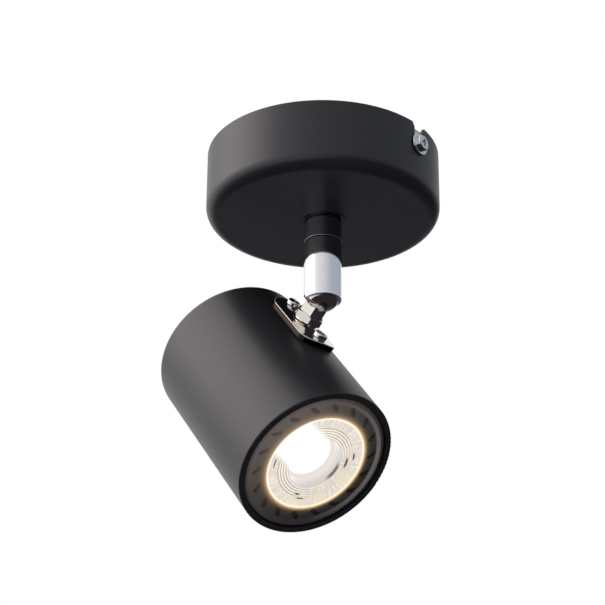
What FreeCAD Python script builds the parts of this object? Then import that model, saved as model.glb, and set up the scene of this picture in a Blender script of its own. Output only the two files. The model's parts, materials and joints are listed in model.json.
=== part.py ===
import FreeCAD, Part
import math
import os

os.makedirs("parts", exist_ok=True)

# Ceiling spotlight with one twist-lock lamp. Millimetres, +Z up.
# The origin is the middle of the ceiling plane. The light hangs below it.
# +X passes through the ceiling cup's two side screws.

# Pose in which the light is shown
aim_azimuth = -10.45
lean_angle = 50.5
lean_most = 80.0

# Shared fits
run_gap = 0.05
seat_gap = 0.03
overrun = 1.0

# Ceiling cup
canopy_radius = 40.0
canopy_wall = 1.0
canopy_edge_radius = 4.3
notch_width = 4.6
notch_lead = 1.05
notch_lead_height = 1.7

# Side screws of the cup
side_screw_drop = 7.5
side_screw_radius = 2.0
side_screw_head_radius = 2.7
side_screw_head_height = 1.6
side_screw_flange_radius = 3.95
side_screw_flange_thickness = 0.7
side_screw_reach = 4.0

# Mounting bracket behind the cup
bracket_thickness = 1.2
bracket_width = 18.0
bracket_ear_width = 12.0
bracket_ear_drop = 13.0
bracket_bend_radius = 1.5
ceiling_slot_spacing = 48.0
ceiling_slot_width = 4.5
ceiling_slot_length = 14.0

# Earth screw on the bracket
earth_screw_offset = 13.0
earth_screw_radius = 2.0
earth_screw_head_radius = 3.2
earth_screw_head_height = 1.8
earth_washer_thickness = 0.6

# Terminal block
block_length = 18.0
block_width = 17.0
block_height = 13.0
block_edge_radius = 1.0
pole_pitch = 9.0
pole_sleeve_radius = 2.6
pole_sleeve_bore = 1.6
pole_sleeve_end = 1.8
pole_tower_radius = 3.4
pole_tower_height = 2.0
pole_screw_radius = 1.3
pole_screw_head_radius = 1.7
pole_screw_head_height = 1.4
pole_screw_spread = 7.0
block_screw_radius = 1.25
block_screw_head_radius = 1.3
block_screw_head_height = 1.2

# Hollow nipple, lock nut and washers
nipple_radius = 5.0
nipple_bore = 2.6
nipple_spare = 0.27
journal_radius = 4.0
journal_length = 5.8
lock_nut_flats = 14.0
lock_nut_height = 3.5
lock_washer_radius = 8.4
lock_washer_thickness = 0.8
lock_washer_teeth = 12
lock_washer_tooth_width = 1.2
lock_washer_tooth_depth = 1.0
cup_washer_radius = 7.9
cup_washer_thickness = 0.4

# Stem collar and swivel barrel
stem_radius = 6.4
collar_length = 8.1
collar_edge_radius = 0.3
friction_washer_thickness = 0.5
friction_washer_recess = 0.5
barrel_flange_height = 3.0
barrel_lip_reach = 2.3
barrel_lip_radius = 0.5
slot_side_gap = 0.35
slot_flare_angle = 74.0
slot_flare_spread = 1.2

# Retaining ring, stop, spring and ball seat in the barrel
retainer_radius = 5.55
retainer_hub_radius = 4.7
retainer_thickness = 1.4
retainer_tooth_angle = 16.0
stop_pin_radius = 0.4
stop_pin_inset = 0.05
spring_wire_radius = 0.4
spring_mean_radius = 4.9
spring_turns = 4
seat_height = 4.9
seat_bore = 2.6

# Ball stud
ball_radius = 5.9
collar_to_ball = 19.5
neck_flats = 8.0
neck_length = 7.4
neck_turn = 36.0
stud_radius = 3.0
stud_bore = 1.8
stud_end_length = 18.0
stud_mouth_chamfer = 0.6

# Lock nut, washer and saddle plate on the head
saddle_nut_flats = 9.2
saddle_nut_turn = 30.0
saddle_nut_height = 2.8
nut_chamfer = 0.35
saddle_washer_radius = 4.3
saddle_washer_thickness = 0.45
saddle_length = 30.2
saddle_width = 15.0
saddle_thickness = 2.0
saddle_corner_radius = 6.0
saddle_edge_radius = 0.35
saddle_screw_spacing = 21.3
saddle_screw_radius = 1.5
saddle_screw_head_radius = 2.4
saddle_screw_head_height = 1.9
saddle_screw_end_spare = 1.2

# Lamp head shell
head_wall = 1.2
head_rear_radius = 1.7
head_front_radius = 0.5
head_mouth_gap = 0.3
head_lip_width = 0.88
head_lip_thickness = 1.0
head_rear_room = 6.31

# Bracket of the lamp holder
holder_strip_width = 10.0
holder_strip_thickness = 1.0
holder_strip_front = 13.5
holder_flange_reach = 10.0
flange_to_screw = 6.87
holder_pad_width = 22.6
holder_screw_spacing = 17.0
holder_screw_radius = 1.4
holder_screw_head_radius = 2.3
holder_screw_head_height = 1.5
holder_lead_hole_radius = 3.0
holder_lead_offset = 1.6
stud_nut_flats = 9.5
screw_nut_flats = 5.4
inner_nut_height = 2.2

# Lamp holder
holder_radius = 13.0
holder_length = 12.5
holder_chamfer = 1.0
holder_screw_depth = 5.0
holder_lock_angle = 25.0
lamp_seat_gap = 0.3

# Lamp
lamp_recess = 0.4
lamp_ring_radius = 24.9
lamp_ring_overhang = 0.6
lamp_ring_bead_width = 2.3
lamp_ring_bead_height = 0.55
lamp_ring_thickness = 2.2
lamp_ring_rim_width = 1.5
lamp_ring_rim_height = 0.45
vent_count = 18
vent_band_width = 3.6
vent_edge_gap = 0.1
vent_width = 1.7
vent_slant = 43.0
vent_turn = -5.0
vent_depth = 0.8
lens_rim_height = 0.35
lens_ring_count = 6
lens_ring_pitch = 0.62
lens_ring_depth = 0.3
lens_lip_radius = 9.75
lens_well_radius = 9.3
lens_well_depth = 5.6
lens_floor = 0.9
lens_edge_depth = 3.4
emitter_radius = 8.4
emitter_thickness = 0.8
board_radius = 16.5
board_thickness = 1.6
lamp_body_wall = 1.3
lamp_body_front_band = 3.0
lamp_body_length = 33.0
lamp_body_rear_radius = 14.2
lamp_body_floor = 2.0
lamp_fin_count = 24
lamp_fin_width = 1.1
lamp_fin_height = 1.0
lamp_fin_start = 8.0
lamp_base_radius = 10.9
lamp_base_length = 15.5
lamp_base_chamfer = 1.2
lamp_base_end_thickness = 5.2
pin_pitch = 10.0
pin_neck_radius = 1.5
pin_cap_radius = 2.45
pin_length = 6.6
pin_cap_height = 2.6
pin_play = 0.25
driver_board_gap = 1.36
driver_board_width = 20.0
driver_board_thickness = 1.2

# Leads inside the cup and inside the head
lead_radius = 0.8
lead_offset = 0.9
lead_bend_radius = 2.5
lead_loop_reach = 4.5
lead_block_gap = 0.35
lead_nipple_gap = 1.05
head_lead_bend_radius = 1.9
head_lead_drop = 23.0
head_lead_fall = 1.5
head_lead_spread = 6.8
head_lead_rear_gap = 2.4

# Places worked out from the sizes above
up = FreeCAD.Vector(0, 0, 1)
down = FreeCAD.Vector(0, 0, -1)
along = FreeCAD.Vector(1, 0, 0)
across = FreeCAD.Vector(0, 1, 0)
origin = FreeCAD.Vector(0, 0, 0)

canopy_inner_radius = canopy_radius - canopy_wall
ear_face = math.sqrt(canopy_inner_radius**2 - (bracket_ear_width / 2) ** 2) - seat_gap
lead_run_drop = bracket_thickness + block_height + pole_tower_height + lead_block_gap + lead_radius
nipple_top_drop = lead_run_drop + lead_nipple_gap
lock_nut_top_drop = nipple_top_drop + nipple_spare
cup_floor_drop = lock_nut_top_drop + lock_nut_height + seat_gap + lock_washer_thickness
canopy_depth = cup_floor_drop + canopy_wall
collar_top_drop = canopy_depth + cup_washer_thickness
collar_end_drop = collar_top_drop + collar_length
journal_end_drop = collar_end_drop + journal_length
ball_drop = collar_end_drop + collar_to_ball
barrel_top_drop = collar_end_drop + friction_washer_thickness - friction_washer_recess + run_gap
flange_under_drop = barrel_top_drop + barrel_flange_height
barrel_bore = ball_radius + run_gap
retainer_drop = flange_under_drop + run_gap
spring_top_drop = retainer_drop + retainer_thickness + run_gap
neck_radius = neck_flats / 2 / math.cos(math.radians(30))
full_lean = math.radians(lean_most)
slot_rise = neck_radius / math.sin(full_lean) - stem_radius / math.tan(full_lean) + slot_side_gap / 2
seat_lip_drop = ball_drop - slot_rise - run_gap
seat_top_drop = seat_lip_drop - seat_height
saddle_drop = neck_length + saddle_nut_height + saddle_washer_thickness
saddle_seat = saddle_drop + saddle_thickness + seat_gap
barrel_mouth_drop = ball_drop + barrel_lip_reach
head_mouth_radius = lamp_ring_radius + head_mouth_gap
head_inner_radius = head_mouth_radius + head_lip_width
head_radius = head_inner_radius + head_wall
head_axis_drop = saddle_seat + head_radius
strip_top = math.sqrt(head_inner_radius**2 - (holder_strip_width / 2) ** 2) - seat_gap
holder_flange_front = -saddle_screw_spacing / 2 - flange_to_screw
holder_flange_back = holder_flange_front - holder_strip_thickness
holder_back = holder_flange_front + seat_gap
holder_face = holder_back + holder_length
lamp_base_end = holder_face + lamp_seat_gap
lamp_front = lamp_base_end + lamp_base_length + seat_gap + lamp_body_length
rear = holder_flange_back - head_rear_room
front = lamp_front + lamp_recess
bead_inner_radius = lamp_ring_radius - lamp_ring_bead_width
rim_outer_radius = bead_inner_radius - vent_band_width
lens_radius = rim_outer_radius - lamp_ring_rim_width
lamp_body_radius = lamp_ring_radius - lamp_ring_overhang


def cylinder(radius, height, base, direction):
    return Part.makeCylinder(radius, height, base, direction)


def tube(outer, inner, height, base, direction):
    core = Part.makeCylinder(inner, height + 2 * overrun, base - direction * overrun, direction)
    return Part.makeCylinder(outer, height, base, direction).cut(core)


def box(length, width, height, low):
    return Part.makeBox(length, width, height, low)


def revolve(edges, centre, direction):
    face = Part.Face(Part.Wire(edges))
    return face.revolve(centre, direction, 360)


def outline(points):
    """Straight edges through the points, closed."""
    return Part.makePolygon(points + [points[0]]).Edges


def turned(pairs):
    """Solid of revolution about Z from (radius, height) pairs."""
    points = [FreeCAD.Vector(radius, 0, height) for radius, height in pairs]
    return revolve(outline(points), origin, up)


def lathe(pairs):
    """Solid of revolution about the lamp's axis, from (distance along it, radius) pairs."""
    axis_point = FreeCAD.Vector(0, 0, -head_axis_drop)
    points = [FreeCAD.Vector(place, 0, radius - head_axis_drop) for place, radius in pairs]
    return revolve(outline(points), axis_point, along)


def hexagon(flats, height, base, direction, turn):
    """Hexagonal prism; the turn is the angle of its first corner, seen against the direction."""
    radius = flats / 2 / math.cos(math.radians(30))
    corners = []
    for side in range(6):
        angle = math.radians(turn + 60 * side)
        corners.append(FreeCAD.Vector(radius * math.cos(angle), radius * math.sin(angle), 0))
    prism = Part.Face(Part.Wire(outline(corners))).extrude(up * height)
    prism.Placement = FreeCAD.Placement(base, FreeCAD.Rotation(up, direction))
    return prism


def slot_shape(length, width, height, middle, direction):
    """Round-ended slot along X, cut from its middle along the direction."""
    half = (length - width) / 2
    left = cylinder(width / 2, height, middle - along * half, direction)
    right = cylinder(width / 2, height, middle + along * half, direction)
    corner = middle - along * half - across * (width / 2)
    if direction.z < 0:
        corner = corner - up * height
    return left.fuse(right).fuse(box(2 * half, width, height, corner)).removeSplitter()


def fillet_at(shape, radius, test):
    edges = [edge for edge in shape.Edges if test(edge)]
    return shape.makeFillet(radius, edges)


def is_upright(edge):
    """A straight edge along Z, such as the corner of a block or a flat plate."""
    bounds = edge.BoundBox
    return bounds.ZLength > seat_gap and bounds.XLength < seat_gap and bounds.YLength < seat_gap


def pan_turned(shape):
    """Turn a piece built with its aim along +X to the aim of the shown pose."""
    turned_shape = shape.copy()
    turned_shape.rotate(origin, up, aim_azimuth)
    return turned_shape


def head_placed(shape):
    """Move a piece built about the ball, with its stud straight down, to the shown pose."""
    placed = shape.copy()
    placed.rotate(origin, across, lean_angle)
    placed.rotate(origin, up, aim_azimuth)
    placed.translate(down * ball_drop)
    return placed


def both_sides(shape):
    """The piece and its copy turned half round about Z."""
    other = shape.copy()
    other.rotate(origin, up, 180)
    return Part.makeCompound([shape, other])


def canopy():
    outer = cylinder(canopy_radius, canopy_depth, down * canopy_depth, up)
    outer = fillet_at(outer, canopy_edge_radius, lambda edge: edge.BoundBox.ZMax < -cup_floor_drop)
    inner_edge = canopy_edge_radius - canopy_wall
    hollow = cylinder(canopy_inner_radius, canopy_depth, down * cup_floor_drop, up)
    hollow = fillet_at(hollow, inner_edge, lambda edge: edge.BoundBox.ZMax < canopy_wall - cup_floor_drop)
    cup = outer.cut(hollow)
    hole_start = down * (canopy_depth + overrun)
    hole = cylinder(nipple_radius + run_gap, 2 * overrun + canopy_wall, hole_start, up)
    cup = cup.cut(hole)
    for turn in (0, 180):
        notch = notch_cut()
        notch.rotate(origin, up, turn)
        cup = cup.cut(notch)
    return cup


def notch_cut():
    """Open slot in the cup's rim round one side screw, with its mouth spread a little."""
    start = canopy_inner_radius - canopy_edge_radius
    reach = canopy_edge_radius + canopy_wall + overrun
    half = notch_width / 2
    mouth = half + notch_lead
    lead = -notch_lead_height
    points = [
        FreeCAD.Vector(start, -half, lead),
        FreeCAD.Vector(start, -mouth, 0),
        FreeCAD.Vector(start, -mouth, overrun),
        FreeCAD.Vector(start, mouth, overrun),
        FreeCAD.Vector(start, mouth, 0),
        FreeCAD.Vector(start, half, lead),
        FreeCAD.Vector(start, half, -side_screw_drop),
        FreeCAD.Vector(start, -half, -side_screw_drop),
    ]
    open_part = Part.Face(Part.Wire(outline(points))).extrude(along * reach)
    middle = FreeCAD.Vector(start, 0, -side_screw_drop)
    return open_part.fuse(cylinder(half, reach, middle, along))


def side_screws():
    face = canopy_radius + seat_gap
    flange_end = face + side_screw_flange_thickness
    tip = ear_face - bracket_thickness - side_screw_reach
    middle = FreeCAD.Vector(0, 0, -side_screw_drop)
    shank = cylinder(side_screw_radius, face - tip, middle + along * tip, along)
    flange = cylinder(side_screw_flange_radius, side_screw_flange_thickness, middle + along * face, along)
    head = domed_head(side_screw_head_radius, side_screw_head_height)
    head.Placement = FreeCAD.Placement(middle + along * flange_end, FreeCAD.Rotation(up, along))
    return both_sides(shank.fuse(flange).fuse(head).removeSplitter())


def domed_head(radius, height):
    """Pan head that stands on the plane through zero: straight side, rounded crown."""
    crown = height / 2
    inset = crown * (1 - math.sin(math.radians(45)))
    start = FreeCAD.Vector(radius, 0, height - crown)
    bend = FreeCAD.Vector(radius - inset, 0, height - inset)
    top = FreeCAD.Vector(radius - crown, 0, height)
    edges = [
        Part.LineSegment(origin, FreeCAD.Vector(radius, 0, 0)).toShape(),
        Part.LineSegment(FreeCAD.Vector(radius, 0, 0), start).toShape(),
        Part.Arc(start, bend, top).toShape(),
        Part.LineSegment(top, FreeCAD.Vector(0, 0, height)).toShape(),
        Part.LineSegment(FreeCAD.Vector(0, 0, height), origin).toShape(),
    ]
    return revolve(edges, origin, up)


def mounting_bracket():
    corner = FreeCAD.Vector(-ear_face, -bracket_width / 2, -bracket_thickness)
    strip = box(2 * ear_face, bracket_width, bracket_thickness, corner)
    round_ends = cylinder(ear_face, bracket_thickness, down * bracket_thickness, up)
    bracket = strip.common(round_ends)
    for side in (-1, 1):
        low_x = ear_face - bracket_thickness if side > 0 else -ear_face
        low = FreeCAD.Vector(low_x, -bracket_ear_width / 2, -bracket_ear_drop)
        bracket = bracket.fuse(box(bracket_thickness, bracket_ear_width, bracket_ear_drop, low))
    bracket = bracket.removeSplitter()
    bracket = fillet_at(bracket, bracket_bend_radius, is_outer_bend)
    ear_hole_start = FreeCAD.Vector(-ear_face - overrun, 0, -side_screw_drop)
    ear_hole_length = 2 * (ear_face + overrun)
    bracket = bracket.cut(cylinder(side_screw_radius + run_gap, ear_hole_length, ear_hole_start, along))
    for side in (-1, 1):
        middle = FreeCAD.Vector(side * ceiling_slot_spacing / 2, 0, overrun)
        depth = bracket_thickness + 2 * overrun
        bracket = bracket.cut(slot_shape(ceiling_slot_length, ceiling_slot_width, depth, middle, down))
    hole_depth = bracket_thickness + 2 * overrun
    earth_hole = FreeCAD.Vector(earth_screw_offset, 0, overrun)
    bracket = bracket.cut(cylinder(earth_screw_radius + run_gap, hole_depth, earth_hole, down))
    block_hole = cylinder(block_screw_radius + run_gap, hole_depth, up * overrun, down)
    return bracket.cut(block_hole)


def is_outer_bend(edge):
    """The straight edge along Y where the strip turns down into an ear."""
    bounds = edge.BoundBox
    straight = bounds.XLength < seat_gap and bounds.ZLength < seat_gap
    on_ear = abs(abs(bounds.XMax) - ear_face) < seat_gap and abs(bounds.ZMax) < seat_gap
    return straight and on_ear and bounds.YLength > bracket_ear_width / 2


def terminal_block():
    low = FreeCAD.Vector(-block_length / 2, -block_width / 2, -bracket_thickness - block_height)
    block = box(block_length, block_width, block_height, low)
    block = fillet_at(block, block_edge_radius, is_upright)
    under = -bracket_thickness - block_height
    for x, y in pole_screw_places():
        tower = cylinder(pole_tower_radius, pole_tower_height, FreeCAD.Vector(x, y, under), down)
        block = block.fuse(tower)
    for x in pole_places():
        start = sleeve_start(x, overrun)
        block = block.cut(cylinder(pole_sleeve_radius + seat_gap, block_width + 2 * overrun, start, across))
    for x, y in pole_screw_places():
        shaft = FreeCAD.Vector(x, y, under - pole_tower_height - overrun)
        reach = pole_tower_height + overrun + block_height / 2
        block = block.cut(cylinder(pole_screw_head_radius + seat_gap, reach, shaft, up))
    hole_start = up * (overrun - bracket_thickness)
    screw_hole = cylinder(block_screw_radius + run_gap, block_height + 2 * overrun, hole_start, down)
    head_hole = cylinder(block_screw_head_radius + run_gap, block_height / 2, up * under, up)
    return block.cut(screw_hole).cut(head_hole).removeSplitter()


def pole_places():
    return [-pole_pitch / 2, pole_pitch / 2]


def pole_screw_places():
    half = pole_screw_spread / 2
    return [(x, y) for x in pole_places() for y in (-half, half)]


def sleeve_start(x, extra):
    return FreeCAD.Vector(x, -block_width / 2 - extra, sleeve_height())


def sleeve_height():
    return -bracket_thickness - block_height / 2


def terminal_sleeves():
    sleeves = []
    length = block_width - 2 * pole_sleeve_end
    for x in pole_places():
        start = sleeve_start(x, -pole_sleeve_end)
        sleeve = tube(pole_sleeve_radius, pole_sleeve_bore, length, start, across)
        for y in (-pole_screw_spread / 2, pole_screw_spread / 2):
            hole = FreeCAD.Vector(x, y, sleeve_height())
            depth = pole_sleeve_radius + overrun
            sleeve = sleeve.cut(cylinder(pole_screw_radius + seat_gap, depth, hole, down))
        sleeves.append(sleeve)
    return Part.makeCompound(sleeves)


def terminal_screws():
    screws = []
    head_top = sleeve_height() - pole_sleeve_radius - pole_screw_head_radius
    for x, y in pole_screw_places():
        tip = FreeCAD.Vector(x, y, sleeve_height() - pole_screw_radius / 2)
        shank = cylinder(pole_screw_radius, tip.z - head_top, tip, down)
        head_place = FreeCAD.Vector(x, y, head_top)
        head = cylinder(pole_screw_head_radius, pole_screw_head_height, head_place, down)
        screws.append(shank.fuse(head).removeSplitter())
    return Part.makeCompound(screws)


def block_screw():
    head_top = -bracket_thickness - block_height / 2
    shank = cylinder(block_screw_radius, -head_top, up * head_top, up)
    head = cylinder(block_screw_head_radius, block_screw_head_height, up * head_top, down)
    return shank.fuse(head).removeSplitter()


def earth_stack_place(drop):
    return FreeCAD.Vector(earth_screw_offset, 0, -bracket_thickness - drop)


def earth_washer():
    top = earth_stack_place(seat_gap)
    return tube(earth_screw_head_radius, earth_screw_radius + run_gap, earth_washer_thickness, top, down)


def earth_screw():
    top = earth_stack_place(earth_washer_thickness + 2 * seat_gap)
    shank = cylinder(earth_screw_radius, -top.z, top, up)
    head = domed_head(earth_screw_head_radius, earth_screw_head_height)
    head.Placement = FreeCAD.Placement(top, FreeCAD.Rotation(up, down))
    return shank.fuse(head).removeSplitter()


def hollow_nipple():
    outer = [
        (nipple_bore, -nipple_top_drop),
        (nipple_radius, -nipple_top_drop),
        (nipple_radius, -collar_end_drop),
        (journal_radius, -collar_end_drop),
        (journal_radius, -journal_end_drop),
        (nipple_bore, -journal_end_drop),
    ]
    return turned(outer)


def lock_nut():
    nut = hexagon(lock_nut_flats, lock_nut_height, down * lock_nut_top_drop, down, 0)
    bore_start = down * (lock_nut_top_drop - overrun)
    return nut.cut(cylinder(nipple_radius + run_gap, lock_nut_height + 2 * overrun, bore_start, down))


def lock_washer():
    """Toothed washer between the nut and the cup's floor."""
    top = down * (cup_floor_drop - lock_washer_thickness)
    washer = tube(lock_washer_radius, nipple_radius + run_gap, lock_washer_thickness, top, down)
    gap_start = lock_washer_radius - lock_washer_tooth_depth
    depth = lock_washer_thickness + 2 * overrun
    low = FreeCAD.Vector(gap_start, -lock_washer_tooth_width / 2, top.z - depth + overrun)
    gap = box(lock_washer_tooth_depth + overrun, lock_washer_tooth_width, depth, low)
    for tooth in range(lock_washer_teeth):
        cut = gap.copy()
        cut.rotate(origin, up, 360 * tooth / lock_washer_teeth)
        washer = washer.cut(cut)
    return washer


def cup_washer():
    return tube(cup_washer_radius, nipple_radius + run_gap, cup_washer_thickness, down * canopy_depth, down)


def stem_collar():
    height = collar_end_drop - collar_top_drop
    collar = cylinder(stem_radius, height, down * collar_top_drop, down)
    collar = fillet_at(collar, collar_edge_radius, lambda edge: edge.BoundBox.ZLength < seat_gap)
    bore = cylinder(nipple_radius + run_gap, height + 2 * overrun, down * (collar_top_drop - overrun), down)
    recess_radius = stem_radius - friction_washer_recess
    recess_top = down * (collar_end_drop - friction_washer_recess)
    recess = cylinder(recess_radius, friction_washer_recess + overrun, recess_top, down)
    return collar.cut(bore).cut(recess)


def friction_washer():
    top = down * (collar_end_drop - friction_washer_recess)
    outer = stem_radius - friction_washer_recess - run_gap
    return tube(outer, nipple_radius + run_gap, friction_washer_thickness, top, down)


def barrel_slot():
    """Cut on the leaning side: round crown, sides that flare to the mouth."""
    half = neck_radius + slot_side_gap
    centre = slot_rise - half
    flare = math.radians(slot_flare_angle)
    side_y = half * math.sin(flare)
    side_z = centre + half * math.cos(flare)
    foot = ball_drop - barrel_mouth_drop - overrun
    spread = side_y + slot_flare_spread * (side_z - foot) / (side_z - foot - overrun)
    left = FreeCAD.Vector(0, -side_y, side_z)
    right = FreeCAD.Vector(0, side_y, side_z)
    crown = FreeCAD.Vector(0, 0, slot_rise)
    left_foot = FreeCAD.Vector(0, -spread, foot)
    right_foot = FreeCAD.Vector(0, spread, foot)
    edges = [
        Part.Arc(left, crown, right).toShape(),
        Part.LineSegment(right, right_foot).toShape(),
        Part.LineSegment(right_foot, left_foot).toShape(),
        Part.LineSegment(left_foot, left).toShape(),
    ]
    cut = Part.Face(Part.Wire(edges)).extrude(along * -(stem_radius + overrun))
    cut.translate(down * ball_drop)
    return cut


def swivel_barrel():
    """Thin sleeve with a thick top flange and a mouth rolled in under the ball."""
    lip_inner = math.sqrt(barrel_bore**2 - barrel_lip_reach**2)
    half_drop = barrel_lip_reach / 2
    half_inner = math.sqrt(barrel_bore**2 - half_drop**2)
    top = -barrel_top_drop
    under = -flange_under_drop
    middle = -ball_drop
    mouth = -barrel_mouth_drop
    hole = journal_radius + run_gap
    bend = barrel_lip_radius
    diagonal = bend * (1 - math.sin(math.radians(45)))
    bend_start = FreeCAD.Vector(stem_radius, 0, mouth + bend)
    bend_middle = FreeCAD.Vector(stem_radius - diagonal, 0, mouth + diagonal)
    bend_end = FreeCAD.Vector(stem_radius - bend, 0, mouth)
    lip_start = FreeCAD.Vector(lip_inner, 0, mouth)
    lip_middle = FreeCAD.Vector(half_inner, 0, middle - half_drop)
    lip_end = FreeCAD.Vector(barrel_bore, 0, middle)
    corners = [
        FreeCAD.Vector(barrel_bore, 0, under),
        FreeCAD.Vector(hole, 0, under),
        FreeCAD.Vector(hole, 0, top),
        FreeCAD.Vector(stem_radius, 0, top),
    ]
    edges = [
        Part.Arc(bend_start, bend_middle, bend_end).toShape(),
        Part.LineSegment(bend_end, lip_start).toShape(),
        Part.Arc(lip_start, lip_middle, lip_end).toShape(),
        Part.LineSegment(lip_end, corners[0]).toShape(),
        Part.LineSegment(corners[0], corners[1]).toShape(),
        Part.LineSegment(corners[1], corners[2]).toShape(),
        Part.LineSegment(corners[2], corners[3]).toShape(),
        Part.LineSegment(corners[3], bend_start).toShape(),
    ]
    barrel = revolve(edges, origin, up)
    barrel = fillet_at(barrel, collar_edge_radius, is_barrel_top_edge)
    barrel = barrel.cut(stop_pin_shape(seat_gap))
    return pan_turned(barrel.cut(barrel_slot()))


def is_barrel_top_edge(edge):
    bounds = edge.BoundBox
    level = abs(bounds.ZMin + barrel_top_drop) < seat_gap and bounds.ZLength < seat_gap
    return level and abs(bounds.XMax - stem_radius) < seat_gap


def stop_pin_shape(extra):
    """Pin in the barrel's flange that meets the retaining ring's tooth at either end of the turn."""
    place = FreeCAD.Vector(retainer_radius - stop_pin_radius - stop_pin_inset, 0, 0)
    length = barrel_flange_height / 2 + retainer_thickness
    bottom = down * (flange_under_drop + retainer_thickness)
    return cylinder(stop_pin_radius + extra, length, place + bottom, up)


def stop_pin():
    return pan_turned(stop_pin_shape(0))


def retaining_ring():
    """Ring staked on the nipple's end; its tooth points away from the middle of the turn."""
    top = down * retainer_drop
    hub = tube(retainer_hub_radius, journal_radius, retainer_thickness, top, down)
    ring = tube(retainer_radius, journal_radius, retainer_thickness, top, down)
    half = math.radians(retainer_tooth_angle / 2)
    reach = retainer_radius + overrun
    wedge = [
        FreeCAD.Vector(0, 0, top.z + overrun),
        FreeCAD.Vector(-reach * math.cos(half), reach * math.sin(half), top.z + overrun),
        FreeCAD.Vector(-reach * math.cos(half), -reach * math.sin(half), top.z + overrun),
    ]
    sector = Part.Face(Part.Wire(outline(wedge))).extrude(down * (retainer_thickness + 2 * overrun))
    return hub.fuse(ring.common(sector)).removeSplitter()


def seat_spring():
    """Compression spring between the retaining ring and the ball seat."""
    length = seat_top_drop - spring_top_drop - 2 * spring_wire_radius - run_gap
    bottom = down * (seat_top_drop - spring_wire_radius)
    helix = Part.makeLongHelix(length / spring_turns, length, spring_mean_radius)
    helix.translate(bottom)
    start = bottom + along * spring_mean_radius
    ring = Part.Wire([Part.makeCircle(spring_wire_radius, start, across)])
    spring = Part.Wire(helix.Edges).makePipeShell([ring], True, True)
    return pan_turned(spring)


def ball_seat():
    """Cup with a spherical socket that the spring presses on the ball."""
    outer = barrel_bore - run_gap
    cup = tube(outer, seat_bore, seat_height, down * seat_top_drop, down)
    socket = Part.makeSphere(ball_radius + run_gap, down * ball_drop)
    return pan_turned(cup.cut(socket))


def ball_stud():
    ball = Part.makeSphere(ball_radius)
    neck = hexagon(neck_flats, neck_length, origin, down, neck_turn)
    shank = cylinder(stud_radius, stud_end_length, origin, down)
    stud = ball.fuse(neck).fuse(shank)
    bore_start = up * (ball_radius + overrun)
    bore = cylinder(stud_bore, ball_radius + stud_end_length + 2 * overrun, bore_start, down)
    mouth_radius = stud_bore + stud_mouth_chamfer
    mouth = Part.makeCone(stud_bore, mouth_radius + overrun, stud_mouth_chamfer + overrun, mouth_start(), up)
    return head_placed(stud.cut(bore).cut(mouth).removeSplitter())


def mouth_start():
    flat = math.sqrt(ball_radius**2 - (stud_bore + stud_mouth_chamfer) ** 2)
    return up * (flat - stud_mouth_chamfer)


def bevelled_nut(flats, height, top, bore):
    """Hexagon nut whose corners are turned off at both faces."""
    nut = hexagon(flats, height, top, down, saddle_nut_turn)
    corner = flats / 2 / math.cos(math.radians(30))
    rounding = [
        (0, 0),
        (flats / 2, 0),
        (corner, -nut_chamfer),
        (corner, nut_chamfer - height),
        (flats / 2, -height),
        (0, -height),
    ]
    form = turned(rounding)
    form.translate(top)
    nut = nut.common(form)
    return nut.cut(cylinder(bore, height + 2 * overrun, top + up * overrun, down))


def saddle_nut():
    top = down * neck_length
    return head_placed(bevelled_nut(saddle_nut_flats, saddle_nut_height, top, stud_radius + run_gap))


def saddle_washer():
    top = down * (neck_length + saddle_nut_height)
    return head_placed(tube(saddle_washer_radius, stud_radius + run_gap, saddle_washer_thickness, top, down))


def saddle_screw_places():
    return [-saddle_screw_spacing / 2, saddle_screw_spacing / 2]


def saddle_plate():
    """Curved plate that lies on the round shell, with rounded corners and a rounded upper edge."""
    low = FreeCAD.Vector(-saddle_length / 2, -saddle_width / 2, -head_axis_drop)
    blank = box(saddle_length, saddle_width, head_axis_drop, low)
    blank = fillet_at(blank, saddle_corner_radius, is_upright)
    start = FreeCAD.Vector(-saddle_length / 2 - overrun, 0, -head_axis_drop)
    under = head_radius + seat_gap
    sleeve = tube(under + saddle_thickness, under, saddle_length + 2 * overrun, start, along)
    plate = blank.common(sleeve)
    plate = fillet_at(plate, saddle_edge_radius, is_saddle_top_edge)
    above = down * (saddle_drop - overrun)
    depth = saddle_thickness + 2 * overrun
    plate = plate.cut(cylinder(stud_radius + run_gap, depth, above, down))
    for x in saddle_screw_places():
        plate = plate.cut(cylinder(saddle_screw_radius + run_gap, depth, above + along * x, down))
    return head_placed(plate)


def is_saddle_top_edge(edge):
    """An edge that lies all along the plate's curved upper face."""
    top_radius = head_radius + seat_gap + saddle_thickness
    points = edge.discretize(5)
    return all(abs(math.hypot(p.y, p.z + head_axis_drop) - top_radius) < seat_gap / 2 for p in points)


def saddle_screws():
    screws = []
    under_strip = head_axis_drop - strip_top + holder_strip_thickness
    end = under_strip + inner_nut_height + saddle_screw_end_spare
    for x in saddle_screw_places():
        top = FreeCAD.Vector(x, 0, -saddle_drop)
        shank = cylinder(saddle_screw_radius, end - saddle_drop, top, down)
        head = domed_head(saddle_screw_head_radius, saddle_screw_head_height)
        head.translate(top)
        screws.append(shank.fuse(head).removeSplitter())
    return head_placed(Part.makeCompound(screws))


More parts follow.
